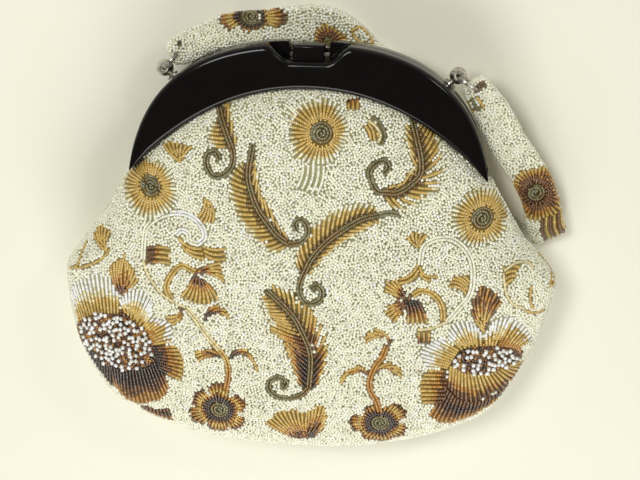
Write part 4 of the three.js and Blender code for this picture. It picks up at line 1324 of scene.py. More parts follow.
    def build(self, cloth: bpy.types.Material, beads: BeadTree,
              plain_beads: BeadTree) -> list[bpy.types.Object]:
        """Makes the cloth and its beads.

        Args:
            cloth: material of the cloth between the beads.
            beads: tree for the front's beads.
            plain_beads: tree for the back's beads.

        Returns:
            The pieces.
        """
        points, faces = self.shell()
        cover = make_piece("pouch_cloth", points, faces, cloth)
        report(cover, BODY, "beadwork", "pouch")
        cover.data.calc_loop_triangles()
        triangles = np.array([triangle.vertices[:] for triangle in cover.data.loop_triangles])
        middle = points[triangles].mean(axis=1)[:, 2]

        front = Beadwork(SEED)
        for heap in HEAPS:
            front.heap(heap, self.surface(1), int(0.12 * math.pi * heap.wide * heap.high))
        for motif in FRONT_PATTERN:
            for row in motif.rows():
                front.lay_row(row, self.surface(1), self.outside_heaps)
        front.fill(points, triangles[middle > self.back_swell], self.clear_of_lip, self.ground, BEAD.per_mm2)
        thirds = (("beads_front_left", lambda at: at[:, 0] < -40),
                  ("beads_front_right", lambda at: at[:, 0] > 40),
                  ("beads_front_middle", lambda at: np.abs(at[:, 0]) <= 40))
        pieces = front.make(beads, thirds)

        back = Beadwork(SEED + 1, front)
        back.fill(points, triangles[middle <= self.back_swell], self.clear_of_table, lambda place: Tone.IVORY,
                  BEAD.per_mm2 * 0.86)
        halves = (("beads_back_left", lambda at: at[:, 0] < 0),
                  ("beads_back_right", lambda at: at[:, 0] >= 0))
        pieces += back.make(plain_beads, halves)
        paint_bead_shade(cover, (front, back))
        LOG.info("beads: %d in front and %d behind", len(front.places), len(back.places))
        for piece in pieces:
            report(piece, BODY, "beadwork")
        return [cover, *pieces]

    def clear_of_lip(self, places: Points) -> np.ndarray:
        """Which places are not under the frame."""
        x, y = places[:, 0], places[:, 1]
        reach = np.minimum(np.abs(x), self.arch.tip_inner)
        slope = np.abs(self.arch.inner_slope(reach))
        gap = (self.arch.inner_height(reach) - y) / np.sqrt(1 + slope ** 2)
        return (gap > 0.35) | (np.abs(x) > self.arch.tip_inner)

    def outside_heaps(self, places: Points) -> np.ndarray:
        """Which places a charted row may use."""
        free = self.clear_of_lip(places)
        for heap in HEAPS:
            free &= ~heap.holds(places)
        return free

    def clear_of_table(self, places: Points) -> np.ndarray:
        """Which places of the back are neither under the frame nor pressed on the table."""
        return self.clear_of_lip(places) & (places[:, 2] > 1.2)

    def ground(self, place: Points) -> Tone:
        """Glass of the ground at a place: brown under the heaps, and ivory elsewhere."""
        at = place[None, :]
        if any(heap.holds(at, 1.14)[0] for heap in HEAPS):
            mixed = (Tone.BROWN, Tone.AMBER, Tone.BROWN, Tone.DARK)
            return mixed[int(abs(place[0] * 7.3 + place[1] * 3.1)) % 4]
        return Tone.IVORY


@dataclass
class ArchFrame:
    """The frame's two arched halves, with a lip over the pouch, a notch for the clasp and hinge ears.

    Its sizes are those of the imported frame, in millimetres, but for slimmer tips, a rounder arch and a longer
    ramp of the notch. The back half's notch only leaves room for the clasp.
    """

    half_width: float = 90.0
    rise: float = 84.0
    depth: float = 20.0
    base: float = 38.0
    middle: float = 28.0
    gap: float = 0.3
    tip_height: float = 57.0
    tip_width: float = 0.6
    hinge_width: float = 5.0
    rail_width: float = 22.2
    edge_radius: float = 3.0
    lip_radius: float = 3.0
    groove_depth: float = 5.0
    groove_height: float = 5.4
    outer_squareness: float = 2.5
    arch_squareness: float = 2.13
    inner_spread: float = 0.645
    full_section: float = 12.0
    notch_floor: float = 17.6
    notch_ramp: float = 12.4
    notch_depth: float = 8.3
    clasp_room: float = 9.3
    clasp_corner: float = 0.9
    crown: float = 0.35
    arm_steps: int = 110
    notch_steps: int = 64

    def __post_init__(self) -> None:
        """Works out the tips and the arch."""
        tip_share = (self.tip_height - self.base) / self.rise
        self.tip_angle = math.acos(tip_share ** (self.outer_squareness / 2))
        self.tip_outer = self.half_width * math.sin(self.tip_angle) ** (2 / self.outer_squareness)
        self.tip_inner = self.tip_outer - self.tip_width
        self.hinge_inner = self.tip_outer - self.hinge_width
        self.top = self.base + self.rise
        self.arch_top = self.top - self.rail_width
        self.half_thickness = (self.depth - self.gap) / 2

    def inner_height(self, x: Points) -> Points:
        """Height of the lip's edge at x."""
        drop = self.arch_top - self.tip_height
        return self.arch_top - drop * np.abs(x / self.tip_inner) ** self.arch_squareness

    def inner_slope(self, x: Points) -> Points:
        """How fast the lip's edge falls away from the middle at x, with x's sign."""
        drop = self.arch_top - self.tip_height
        steep = np.abs(x / self.tip_inner) ** (self.arch_squareness - 1)
        return np.sign(x) * drop * self.arch_squareness / self.tip_inner * steep

    def outer(self, angle: Points) -> Points:
        """Points of the outer outline without its notch."""
        reach = 2 / self.outer_squareness
        x = self.half_width * np.sign(angle) * np.abs(np.sin(angle)) ** reach
        return np.stack([x, self.base + self.rise * np.cos(angle) ** reach], axis=-1)

    def outward(self, angle: Points) -> Points:
        """Outward directions of the outer outline."""
        at = self.outer(angle)
        power = self.outer_squareness - 1
        across = np.sign(at[..., 0]) * np.abs(at[..., 0]) ** power / self.half_width ** self.outer_squareness
        along = (at[..., 1] - self.base) ** power / self.rise ** self.outer_squareness
        return unit(np.stack([across, along], axis=-1))

    def inner(self, angle: Points) -> Points:
        """Points of the lip's edge."""
        x = self.tip_inner * np.sign(angle) * np.abs(angle / self.tip_angle) ** self.inner_spread
        return np.stack([x, self.inner_height(x)], axis=-1)

    def angles(self, side: int) -> np.ndarray:
        """Directions of the sections, close together in the notch.

        Args:
            side: 1 for the front half, -1 for the back half.

        Returns:
            The directions, in radians from the clasp.
        """
        edge = self.notch_floor / 2 + self.notch_ramp
        x = np.linspace(-edge, edge, self.notch_steps + 1)
        if side < 0:
            steep = self.clasp_room + self.clasp_corner * np.linspace(0, 1, 6)
            x = np.concatenate([np.linspace(-edge, -steep[-1] - 1, 12), -steep[::-1],
                                np.linspace(-steep[0] + 1, steep[0] - 1, 18), steep,
                                np.linspace(steep[-1] + 1, edge, 12)])
        notch = np.sign(x) * np.arcsin(np.abs(x / self.half_width) ** (self.outer_squareness / 2))
        arm = np.linspace(notch[-1], self.tip_angle, self.arm_steps + 1)[1:]
        return np.concatenate([-arm[::-1], notch, arm])

    def section(self, width: float) -> Points:
        """Section of a half rail: across from the lip's edge, up from where the halves meet."""
        scale = min(1.0, width / self.full_section)
        groove, lip, edge = (value * scale for value in
                             (self.groove_depth, self.lip_radius, self.edge_radius))
        nick = 0.35 * scale
        points = [(groove, 0.0), (width - nick, 0.0), (width, nick)]
        high = self.half_thickness
        for turn in np.linspace(0, math.pi / 2, 9):
            points.append((width - edge * (1 - math.cos(turn)), high - edge * (1 - math.sin(turn))))
        flat = np.linspace(width - edge, lip, 8)[1:-1]
        middle, half = (width - edge + lip) / 2, (width - edge - lip) / 2
        for along in flat:
            points.append((along, high + self.crown * scale * (1 - ((along - middle) / half) ** 2)))
        for turn in np.linspace(0, math.pi / 2, 8):
            points.append((lip * (1 - math.sin(turn)), high - lip * (1 - math.cos(turn))))
        points += [(0.0, self.groove_height), (groove, self.groove_height)]
        return np.array(points)

    def rail(self, side: int) -> tuple[Points, list[tuple[int, ...]]]:
        """Points and faces of one half, without ears and holes."""
        angles = self.angles(side)
        inner, outer = self.inner(angles), self.outer(angles)
        edge = self.notch_floor / 2 if side > 0 else self.clasp_room
        ramp = self.notch_ramp if side > 0 else self.clasp_corner
        outer[:, 1] -= self.notch_depth * (1 - smooth_step(edge, edge + ramp, np.abs(outer[:, 0])))
        rings = []
        for a, b in zip(inner, outer):
            width = float(np.linalg.norm(b - a))
            section = self.section(width)
            place = a + section[:, :1] / width * (b - a)
            rings.append(np.column_stack([place, self.middle + side * (self.gap / 2 + section[:, 1])]))
        count = len(rings[0])
        faces = ring_faces(len(rings), count)
        faces += [tuple(range(count)), tuple(range((len(rings) - 1) * count, len(rings) * count))]
        return np.vstack(rings), faces

    def cut(self, half: bpy.types.Object, tool: bpy.types.Object, operation: str) -> None:
        """Cuts or joins a half with a tool piece, which is then removed."""
        modifier = half.modifiers.new("shape", "BOOLEAN")
        modifier.operation = operation
        modifier.solver = "EXACT"
        modifier.object = tool
        settle(half)
        bpy.data.objects.remove(tool)

    def build(self, plastic: bpy.types.Material) -> list[bpy.types.Object]:
        """Makes both halves.

        Args:
            plastic: their material.

        Returns:
            The front half and the back half.
        """
        made = []
        for side, name in ((1, "front"), (-1, "back")):
            half = make_piece(f"frame_half_{name}", *self.rail(side), plastic)
            self.cut(half, Blocks.room(self, side, plastic), "DIFFERENCE")
            self.cut(half, Blocks.ears(self, side, plastic), "UNION")
            crisp(half, 42)
            made.append(report(half, BODY, "frame_plastic", f"frame_{name}"))
        return made


class Blocks:
    """Box-shaped tools that shape the frame's halves."""

    ear_width = 2.2
    ear_height = 5.0
    hinge_reach = 2.6

    @staticmethod
    def joined(name: str, boxes: list[tuple[tuple[float, float], ...]],
               finish: bpy.types.Material) -> bpy.types.Object:
        """One piece from boxes given by their x, y and z ranges."""
        points, faces = [], []
        corners = ((0, 0, 0), (1, 0, 0), (1, 1, 0), (0, 1, 0), (0, 0, 1), (1, 0, 1), (1, 1, 1), (0, 1, 1))
        sides = ((0, 1, 2, 3), (4, 5, 6, 7), (0, 1, 5, 4), (1, 2, 6, 5), (2, 3, 7, 6), (3, 0, 4, 7))
        for box in boxes:
            start = len(points)
            points += [[sorted(box[axis])[corner[axis]] for axis in range(3)] for corner in corners]
            faces += [tuple(start + number for number in side) for side in sides]
        return make_piece(name, np.array(points), faces, finish)

    @classmethod
    def room(cls, rail: ArchFrame, side: int, finish: bpy.types.Material) -> bpy.types.Object:
        """Room for the other half's ears, and for the clasp's hook in the front half."""
        split = rail.hinge_inner + cls.ear_width + rail.gap
        low, high = rail.tip_height + 0.1, rail.tip_height + 0.1 + cls.ear_height
        reach = rail.middle + side * (cls.hinge_reach + rail.gap)
        far = (split - rail.gap / 2, rail.tip_outer + 2)
        near = (rail.hinge_inner - 1, split + rail.gap / 2)
        span = far if side > 0 else near
        boxes = [((hand * span[0], hand * span[1]), (low - 1, high + rail.gap),
                  (rail.middle - side * 0.2, reach))
                 for hand in (-1, 1)]
        if side > 0:
            lever_low, lever_high = (corner / MM for corner in np.array(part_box("clasp_lever")))
            boxes.append(((lever_low[0] - rail.gap, lever_high[0] + rail.gap),
                          (lever_low[1] - rail.gap, lever_low[1] + 2.2),
                          (lever_high[2] - 3.0, lever_high[2] + rail.gap)))
        return cls.joined("room", boxes, finish)

    @classmethod
    def ears(cls, rail: ArchFrame, side: int, finish: bpy.types.Material) -> bpy.types.Object:
        """The two hinge ears of a half."""
        split = rail.hinge_inner + cls.ear_width + rail.gap
        low, high = rail.tip_height + 0.1, rail.tip_height + 0.1 + cls.ear_height
        near = (rail.hinge_inner + 0.1, split - rail.gap / 2)
        far = (split + rail.gap / 2, rail.tip_outer - 0.2)
        own = near if side > 0 else far
        depth = (rail.middle - side * cls.hinge_reach, rail.middle + side * (cls.hinge_reach + 0.6))
        boxes = [((hand * own[0], hand * own[1]), (low, high), depth) for hand in (-1, 1)]
        return cls.joined("ears", boxes, finish)


@dataclass
class Clasp:
    """The lift clasp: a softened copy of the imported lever."""

    corner: float = 1.3

    def build(self, plastic: bpy.types.Material) -> bpy.types.Object:
        """Makes the lever.

        Args:
            plastic: its material.

        Returns:
            The lever.
        """
        shell = bmesh.new()
        shell.from_mesh(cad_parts["clasp_lever"].data)
        bmesh.ops.remove_doubles(shell, verts=shell.verts, dist=1e-5)
        bmesh.ops.dissolve_limit(shell, angle_limit=math.radians(2), verts=shell.verts, edges=shell.edges)
        mesh = bpy.data.meshes.new("clasp_tab")
        shell.to_mesh(mesh)
        shell.free()
        mesh.materials.clear()
        mesh.materials.append(plastic)
        tab = bpy.data.objects.new("clasp_tab", mesh)
        bpy.context.scene.collection.objects.link(tab)
        modifier = tab.modifiers.new("soft corners", "BEVEL")
        modifier.width = self.corner * MM
        modifier.segments = 3
        modifier.limit_method = "ANGLE"
        modifier.angle_limit = math.radians(40)
        crisp(settle(tab), 50)
        return report(tab, CLASP_BODY, "frame_plastic", "clasp_lever")


@dataclass
class Fittings:
    """The drilled balls on their posts, and the split rings of two turns.

    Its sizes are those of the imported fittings, in millimetres, but for a shorter shank and a thinner wire
    that is wound twice.
    """

    arch: ArchFrame
    stud_angle: float = 45.1
    ball_radius: float = 4.3
    bore_radius: float = 2.1
    ball_lift: float = 6.2
    collar_radius: float = 3.2
    collar_thickness: float = 1.2
    post_radius: float = 1.6
    shank_length: float = 4.6
    shank_radius: float = 1.0
    ring_radius: float = 6.2
    ring_pull: float = 0.6
    ring_angles: tuple[float, float] = (49.0, -33.0)
    wire_radius: float = 0.62
    wire_pitch: float = 1.32
    ring_turns: float = 2.05

    def seat(self, hand: int) -> tuple[Points, Points]:
        """Where a stud's collar meets the back half, and its outward direction."""
        angle = np.array(hand * math.radians(self.stud_angle))
        at, out = self.arch.outer(angle), self.arch.outward(angle)
        height = self.arch.middle - self.arch.depth / 2 + self.arch.half_thickness / 2
        return np.array([at[0], at[1], height]), np.array([out[0], out[1], 0.0])

    def ring_direction(self, hand: int) -> Points:
        """Direction from the ball to the strap's end."""
        angle = math.radians(self.ring_angles[0] if hand < 0 else self.ring_angles[1])
        return np.array([math.cos(angle), math.sin(angle), 0.0])

    def ring_centre(self, hand: int) -> Points:
        """Middle of a ring."""
        place, out = self.seat(hand)
        return place + out * self.ball_lift + self.ring_direction(hand) * (self.ring_radius - self.ring_pull)

    def strap_hole(self, hand: int) -> Points:
        """Where the ring passes through the strap's end."""
        return self.ring_centre(hand) + self.ring_direction(hand) * (self.ring_radius - self.ring_pull / 2)

    @staticmethod
    def turned(profile: list[tuple[float, float]], sides: int, place: Points,
               axis: Points) -> tuple[Points, list]:
        """Points and faces of a closed profile of radii and heights, turned about an axis through place."""
        across = unit(np.cross(axis, UP if abs(axis[2]) < 0.9 else np.array([1.0, 0.0, 0.0])))
        other = np.cross(axis, across)
        turn = np.linspace(0, math.tau, sides, endpoint=False)
        rings = [place + axis * high
                 + radius * (np.outer(np.cos(turn), across) + np.outer(np.sin(turn), other))
                 for radius, high in profile]
        faces = ring_faces(len(rings), sides)
        last = (len(rings) - 1) * sides
        faces += [(last + side, last + (side + 1) % sides, (side + 1) % sides, side) for side in range(sides)]
        return np.vstack(rings), faces

    def stud(self, hand: int, metal: bpy.types.Material) -> bpy.types.Object:
        """One ball with its post, collar and shank."""
        place, out = self.seat(hand)
        cut = math.asin(self.bore_radius / self.ball_radius)
        turns = np.linspace(cut, math.pi - cut, 15)
        ball = [(self.ball_radius * math.sin(turn), -self.ball_radius * math.cos(turn)) for turn in turns]
        ball += [(self.bore_radius, -high * 0.96) for high in (ball[0][1], 0.0, ball[-1][1])]
        face = self.ball_lift - (self.ball_radius + self.bore_radius) / 2
        low, high = self.arch.gap, self.arch.gap + self.collar_thickness
        tiny = 0.02
        post = [(tiny, -self.shank_length), (self.shank_radius, -self.shank_length),
                (self.shank_radius, low), (self.collar_radius - 0.25, low),
                (self.collar_radius, low + 0.25), (self.collar_radius, high - 0.3),
                (self.collar_radius - 0.4, high), (self.post_radius + 0.3, high),
                (self.post_radius, high + 0.4), (self.post_radius, face), (tiny, face)]
        first, first_faces = self.turned(ball, 40, place + out * self.ball_lift, UP)
        second, second_faces = self.turned(post, 32, place, out)
        faces = first_faces + [tuple(number + len(first) for number in one) for one in second_faces]
        return crisp(make_piece(f"ball_stud_{side_name(hand)}", np.vstack([first, second]), faces, metal), 35)

    def ring(self, hand: int, metal: bpy.types.Material) -> bpy.types.Object:
        """One split ring: a wire wound twice."""
        along = self.ring_direction(hand)
        axle = np.cross(along, UP)
        steps, sides = 110, 12
        turn = np.linspace(0, math.tau * self.ring_turns, steps)
        drift = np.linspace(-0.5, 0.5, steps) * self.wire_pitch * self.ring_turns / 2
        line = (self.ring_centre(hand)
                + self.ring_radius * (np.outer(np.cos(turn), along) + np.outer(np.sin(turn), UP))
                + np.outer(drift, axle))
        ahead = unit(np.gradient(line, axis=0))
        out = unit(line - self.ring_centre(hand) - np.outer(drift, axle))
        other = np.cross(ahead, out)
        round_ = np.linspace(0, math.tau, sides, endpoint=False)
        thick = self.wire_radius * np.minimum(1, np.sin(np.linspace(0.05, math.pi - 0.05, steps)) * 8)
        rings = [middle + size * (np.outer(np.cos(round_), a) + np.outer(np.sin(round_), b))
                 for middle, size, a, b in zip(line, thick, out, other)]
        faces = ring_faces(steps, sides)
        faces += [tuple(range(sides)), tuple(range((steps - 1) * sides, steps * sides))]
        return make_piece(f"split_ring_{side_name(hand)}", np.vstack(rings), faces, metal)

    def build(self, metal: bpy.types.Material, painted_shade_metal: bpy.types.Material) -> list[bpy.types.Object]:
        """Makes both studs and both rings, and dresses the pins.

        Args:
            metal: material of the studs and rings.
            painted_shade_metal: material of the pins.

        Returns:
            The pieces.
        """
        made = []
        for hand in (-1, 1):
            name = side_name(hand)
            made.append(report(self.stud(hand, metal), BODY, "fittings", f"stud_{name}"))
            made.append(report(self.ring(hand, metal), BODY, "fittings", f"ring_{name}"))
        # the pins are coloured near black: painted shade for the gaps where they sit
        for name in ("clasp_pin", "hinge_pin_left", "hinge_pin_right"):
            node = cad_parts[name]
            for number in range(len(node.material_slots)):
                node.material_slots[number].material = painted_shade_metal
        return made


def side_name(hand: int) -> str:
    """Left or right."""
    return "left" if hand < 0 else "right"


class Beside(Enum):
    """What a stretch of the strap lies next to."""

    FRAME = "frame"
    POUCH = "pouch"


@dataclass(frozen=True)
class StrapStation:
    """Where the strap passes.

    Attributes:
        beside: what it lies next to.
        at: share of the way from the clasp to a tip, or of the pouch's height below the tips.
        out: share of the strap's width that it stands off.
        lift: its height, as a share of the room under the frame.
        lean: 0 with the beads up, -180 with the lining up, in degrees.
        width: share of the strap's full width.
    """

    beside: Beside
    at: float
    out: float
    lift: float
    lean: float
    width: float = 1.0


@dataclass
class Strap:
    """The padded strap, beaded outside and lined inside, led behind the bag and folded back.

    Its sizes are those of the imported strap, in millimetres. Five of its stations lie a little nearer to the
    bag or farther from it. The stations' shares were worked out from chosen points, outside this script.
    """

    pouch: Pouch
    fittings: Fittings
    width: float = 17.0
    thickness: float = 5.0
    end: float = 4.0
    fold_radius: float = 4.5
    behind: tuple[StrapStation, ...] = (
        StrapStation(Beside.FRAME, -0.378, 0.43, 0.55, -50, 0.95),
        StrapStation(Beside.FRAME, -0.25, 0.33, 0.26, -30),
        StrapStation(Beside.FRAME, -0.138, 0.2, 0.17, -15),
        StrapStation(Beside.FRAME, -0.044, 0.23, 0.09, -5),
        StrapStation(Beside.FRAME, 0.023, 0.24, 0.04, 0),
        StrapStation(Beside.FRAME, 0.097, -0.17, 0.01, 0),
        StrapStation(Beside.FRAME, 0.172, -0.62, 0.0, -4),
        StrapStation(Beside.FRAME, 0.324, -0.76, 0.0, -36),
        StrapStation(Beside.FRAME, 0.509, -0.7, 0.0, -80),
        StrapStation(Beside.FRAME, 0.663, -0.57, 0.0, -118),
        StrapStation(Beside.FRAME, 0.807, -0.41, 0.0, -152),
        StrapStation(Beside.FRAME, 0.931, -0.22, 0.0, -174),
        StrapStation(Beside.POUCH, 0.01, 0.05, 0.0, -180),
        StrapStation(Beside.POUCH, 0.071, 0.2, 0.0, -180),
        StrapStation(Beside.POUCH, 0.125, 0.36, 0.0, -180),
        StrapStation(Beside.POUCH, 0.162, 0.56, 0.0, -180),
        StrapStation(Beside.POUCH, 0.2, 0.72, 0.0, -180),
    )
    onwards: tuple[StrapStation, ...] = (
        StrapStation(Beside.POUCH, 0.1, 1.06, 0.53, 0),
        StrapStation(Beside.POUCH, 0.02, 1.14, 0.62, 0),
        StrapStation(Beside.FRAME, 0.903, 0.7, 0.82, 0),
        StrapStation(Beside.FRAME, 0.78, 0.56, 1.02, 0, 0.95),
    )

    def place(self, station: StrapStation) -> tuple[Points, float, float]:
        """Middle, lean and width of the strap at a station."""
        arch = self.pouch.arch
        if station.beside is Beside.FRAME:
            angle = np.array(station.at * arch.tip_angle)
            spot = arch.outer(angle) + arch.outward(angle) * station.out * self.width
        else:
            downs = [row.down for row in self.pouch.sides]
            rights = [row.right for row in self.pouch.sides]
            side = self.pouch.half_width * np.interp(station.at, downs, rights)
            top = self.pouch.tip_height - self.pouch.rim_drop
            spot = np.array([side + station.out * self.width, top - station.at * self.pouch.below_tips])
        flat = (self.width * station.width - self.thickness) / 2
        half = flat * abs(math.sin(math.radians(station.lean))) + self.thickness / 2
        under = arch.middle - arch.depth / 2
        return np.array([*spot, station.lift * under + half]), station.lean, station.width

    def end_stations(self, hand: int, towards: Points) -> list[tuple[Points, float, float]]:
        """The strap's end beyond the ring, and the place where the ring passes."""
        hole = self.fittings.strap_hole(hand)
        back = (hole - towards) * [1, 1, 0]
        return [(hole + unit(back) * self.end, 0.0, 0.6), (hole, 0.0, 0.75)]

    @staticmethod
    def sections(stations: list[tuple[Points, float, float]], per_span: int = 12) -> list[np.ndarray]:
        """Middles, directions, wide directions and widths along a smooth line through stations."""
        line = smooth_line([station[0] for station in stations], per_span)
        ahead = unit(np.gradient(line, axis=0))
        values = np.array([station[1:] for station in stations], float)
        held = np.vstack([2 * values[0] - values[1], values, 2 * values[-1] - values[-2]])
        shape = []
        for first in range(len(values) - 1):
            p0, p1, p2, p3 = held[first:first + 4]
            t = np.linspace(0, 1, per_span, endpoint=False)[:, None]
            d1, d2 = 0.3 * (p2 - p0), 0.3 * (p3 - p1)
            cubic = (2 * p1 - 2 * p2 + d1 + d2) * t ** 3
            square = (-3 * p1 + 3 * p2 - 2 * d1 - d2) * t ** 2
            shape.append(cubic + square + d1 * t + p1)
        shape = np.vstack([*shape, values[-1:]])
        level = unit(np.stack([-ahead[:, 1], ahead[:, 0], np.zeros(len(ahead))], axis=1))
        turn = np.radians(shape[:, :1])
        wide = (level * np.cos(turn) + np.cross(ahead, level) * np.sin(turn)
                + ahead * (ahead * level).sum(axis=1, keepdims=True) * (1 - np.cos(turn)))
        return [line, ahead, wide, shape[:, 1]]

    def fold(self, middle: Points, ahead: Points, onward: Points, steps: int = 22) -> list[np.ndarray]:
        """The turn where the strap folds back over itself."""
        before = math.atan2(ahead[1], ahead[0])
        after = math.atan2(-onward[1], -onward[0])
        share = (np.arange(steps - 1) + 1) / steps
        turn = math.pi * share
        heading = before + (after - before) * share
        bow = (before + after) / 2
        out = self.fold_radius * np.sin(turn)
        line = middle + np.stack([out * math.cos(bow), out * math.sin(bow),
                                  self.fold_radius * (1 - np.cos(turn))], axis=1)
        forward = np.stack([np.cos(heading) * np.cos(turn), np.sin(heading) * np.cos(turn),
                            np.sin(turn)], axis=1)
        wide = np.stack([np.sin(heading), -np.cos(heading), np.zeros(steps - 1)], axis=1)
        return [line, forward, wide, np.ones(steps - 1)]

    def route(self) -> list[np.ndarray]:
        """Middles, directions, wide directions and widths of the whole strap."""
        behind = [self.place(station) for station in self.behind]
        onwards = [self.place(station) for station in self.onwards]
        first = self.sections([*self.end_stations(-1, behind[0][0]), *behind])
        last, ahead = first[0][-1], unit(first[1][-1] * [1, 1, 0])
        above = last + UP * 2 * self.fold_radius
        end = self.end_stations(1, onwards[-1][0])[::-1]
        second = self.sections([(above, 0.0, 1.0), *onwards, *end])
        turn = self.fold(last, ahead, onwards[0][0] - above)
        return [np.concatenate(values) for values in zip(first, turn, second)]

    def prepare(self) -> None:
        """Keeps the route and the distance along it."""
        self.line, self.ahead, self.wide, self.share = self.route()
        self.face = unit(np.cross(self.ahead, self.wide))
        self.along = lengths_along(self.line)

    def surface(self, chart: Points) -> tuple[Points, Points]:
        """Points and outward directions on the beaded face.

        Args:
            chart: distances along the strap and across it from its middle.

        Returns:
            The points and the directions.
        """
        at, across = chart[:, 0], chart[:, 1]
        middle, wide, face = (np.stack([np.interp(at, self.along, values[:, axis])
                                        for axis in range(3)], axis=1)
                              for values in (self.line, self.wide, self.face))
        wide, face = unit(wide), unit(face)
        half = (self.width * np.interp(at, self.along, self.share) - self.thickness) / 2
        round_ = self.thickness / 2
        turn = np.clip((np.abs(across) - half) / round_, 0, math.pi * 0.6)
        side = np.sign(across)
        flat = np.minimum(np.abs(across), half)
        normal = wide * (side * np.sin(turn))[:, None] + face * np.cos(turn)[:, None]
        points = middle + wide * (side * flat)[:, None] + normal * round_
        return points, normal

    @staticmethod
    def clear_of_table(places: Points) -> np.ndarray:
        """Which places are not pressed on the table."""
        return places[:, 2] > 0.6

    def body(self, cloth: bpy.types.Material, lining: bpy.types.Material) -> bpy.types.Object:
        """The padded band, with the lining as its second material."""
        round_ = self.thickness / 2
        turn = np.radians(np.linspace(-90, 90, 13))
        rings = []
        for middle, wide, face, share in zip(self.line, self.wide, self.face, self.share):
            half = (self.width * share - self.thickness) / 2
            across = np.concatenate([half + round_ * np.cos(turn), -half - round_ * np.cos(turn)])
            up = np.concatenate([round_ * np.sin(turn), -round_ * np.sin(turn)])
            rings.append(middle + np.outer(across, wide) + np.outer(up, face))
        count = len(rings[0])
        faces = ring_faces(len(rings), count)
        faces += [tuple(range(count)), tuple(range((len(rings) - 1) * count, len(rings) * count))]
        band = make_piece("strap_band", np.vstack(rings), faces, cloth, lining)
        under = {*range(0, 4), *range(21, 26)}
        for polygon in band.data.polygons[:(len(rings) - 1) * count]:
            polygon.material_index = 1 if polygon.index % count in under else 0
        return band

    def build(self, cloth: bpy.types.Material, lining: bpy.types.Material,
              beads: BeadTree) -> list[bpy.types.Object]:
        """Makes the band and its beads.

        Args:
            cloth: material under the beads.
            lining: material of the inner face.
            beads: tree for the beads.

        Returns:
            The pieces.
        """
        self.prepare()
        LOG.info("strap: %.0f mm along its middle", self.along[-1])
        band = self.body(cloth, lining)
        report(band, BODY, "beadwork", "strap")
        points = np.array([vertex.co[:] for vertex in band.data.vertices]) / MM
        band.data.calc_loop_triangles()
        triangles = np.array([triangle.vertices[:] for triangle in band.data.loop_triangles
                              if triangle.material_index == 0])
        work = Beadwork(SEED + 2)
        for motif in STRAP_PATTERN:
            for row in motif.rows():
                work.lay_row(row, self.surface, self.clear_of_table)
        work.fill(points, triangles, self.clear_of_table, lambda place: Tone.IVORY, BEAD.per_mm2)
        paint_bead_shade(band, (work,))
        pieces = work.make(beads, (("strap_beads", lambda at: np.ones(len(at), bool)),))
        for piece in pieces:
            report(piece, BODY, "beadwork")
        return [band, *pieces]


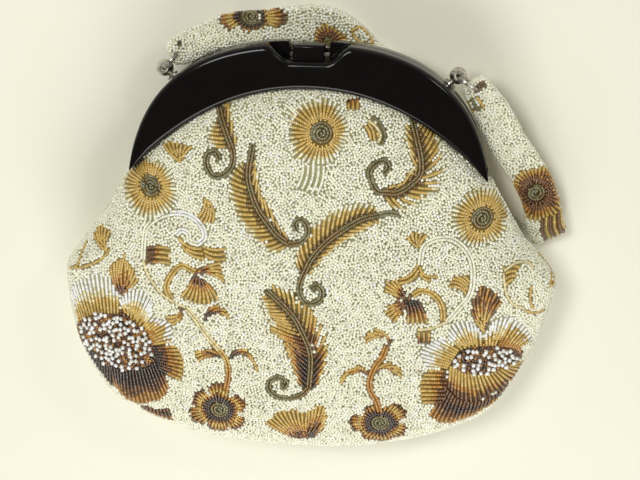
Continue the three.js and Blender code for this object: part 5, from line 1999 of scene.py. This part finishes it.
@dataclass
class Studio:
    """The pale floor, the soft lights and the camera.

    The camera's numbers follow a fit to picked outline points, made outside this script.
    """

    target: tuple[float, float, float] = (7.0, 24.0, 38.0)
    turn: float = 5.0
    tip: float = 18.0
    roll: float = 0.6
    distance: float = 700.0
    lens: float = 78.75
    sensor: float = 36.0
    floor_half: float = 4000.0
    floor_drop: float = 0.2
    glow_start: float = 0.15
    glow_end: float = 0.8
    low_glow: float = 0.6
    high_glow: float = 0.12

    def camera(self) -> bpy.types.Object:
        """Places the camera as the photograph was taken."""
        turn, tip, roll = (math.radians(value) for value in (self.turn, self.tip, self.roll))
        back = Vector((math.sin(turn), math.cos(turn) * math.sin(tip), math.cos(turn) * math.cos(tip)))
        level = Vector((0, 1, 0)).cross(back).normalized()
        high = back.cross(level)
        right = level * math.cos(roll) + high * math.sin(roll)
        up = high * math.cos(roll) - level * math.sin(roll)
        place = Vector(self.target) + back * self.distance
        data = bpy.data.cameras.new("camera")
        data.lens, data.sensor_width, data.clip_start, data.clip_end = self.lens, self.sensor, 0.01, 20
        camera = bpy.data.objects.new("camera", data)
        camera.matrix_world = Matrix.Translation(place * MM) @ Matrix((right, up, back)).transposed().to_4x4()
        bpy.context.scene.collection.objects.link(camera)
        bpy.context.scene.camera = camera
        return camera

    def light(self, name: str, place: tuple[float, float, float], size: tuple[float, float], power: float,
              colour: tuple[float, float, float]) -> None:
        """A soft rectangular light in metres that looks at the bag."""
        data = bpy.data.lights.new(name, "AREA")
        data.shape = "RECTANGLE"
        data.size, data.size_y = size
        data.energy = power
        data.color = colour
        lamp = bpy.data.objects.new(name, data)
        lamp.location = place
        lamp.rotation_euler = (Vector((0, 0.02, 0.02)) - Vector(place)).to_track_quat("-Z", "Y").to_euler()
        bpy.context.scene.collection.objects.link(lamp)

    def build(self) -> None:
        """Makes the floor, the lights and the camera."""
        half = self.floor_half
        corners = np.array([(-half, -half, 0), (half, -half, 0), (half, half, 0), (-half, half, 0)])
        floor = make_piece("floor", corners, [(0, 1, 2, 3)], PaleFloor().build())
        floor.location.z = -self.floor_drop * MM
        white = (1.0, 0.995, 0.975)
        self.light("window", (-0.4, 0.6, 1.35), (0.5, 0.4), 10.4, white)
        self.light("low_fill", (0.1, -1.15, 0.8), (1.2, 0.6), 14.2, white)
        self.light("far_lamp", (0.75, 0.75, 0.85), (0.16, 0.16), 1.6, white)
        world = bpy.data.worlds.new("room")
        world.use_nodes = True
        nodes = Nodes(world.node_tree)
        way = nodes.add("ShaderNodeTexCoord").outputs["Object"]
        split = nodes.add("ShaderNodeSeparateXYZ", Vector=way)
        glow = nodes.add("ShaderNodeMapRange", Value=split.outputs["Z"])
        glow.inputs["From Min"].default_value = self.glow_start
        glow.inputs["From Max"].default_value = self.glow_end
        glow.inputs["To Min"].default_value = self.low_glow
        glow.inputs["To Max"].default_value = self.high_glow
        sky = world.node_tree.nodes["Background"]
        sky.inputs["Color"].default_value = (1.0, 0.995, 0.98, 1)
        world.node_tree.links.new(glow.outputs["Result"], sky.inputs["Strength"])
        bpy.context.scene.world = world
        bpy.context.scene.view_settings.view_transform = "Standard"
        self.camera()


def main() -> None:
    """Builds the bag, part by part, and the studio round it."""
    logging.basicConfig(level=logging.INFO, format="%(name)s %(message)s")
    Studio().build()
    glass = BeadGlass().build()
    under_cloth = WovenCloth("under_cloth").build()
    lining = WovenCloth("strap_lining", (250, 245, 226), 0.6, 0.08).build()
    plastic = PolishedPlastic().build()
    metal = WornMetal().build()
    # near black metal for the pins: painted shade for the gaps where they sit
    painted_shade_metal = WornMetal("painted_shade_steel", (58, 56, 53), (28, 26, 24)).build()
    round_beads = BeadTree(glass)
    plain_beads = BeadTree(glass, 5)

    arch = ArchFrame()
    pouch = Pouch(arch=arch)
    fittings = Fittings(arch)
    arch.build(plastic)
    Clasp().build(plastic)
    fittings.build(metal, painted_shade_metal)
    Strap(pouch, fittings).build(under_cloth, lining, round_beads)
    pouch.build(under_cloth, round_beads, plain_beads)


if __name__ == "__main__":
    main()
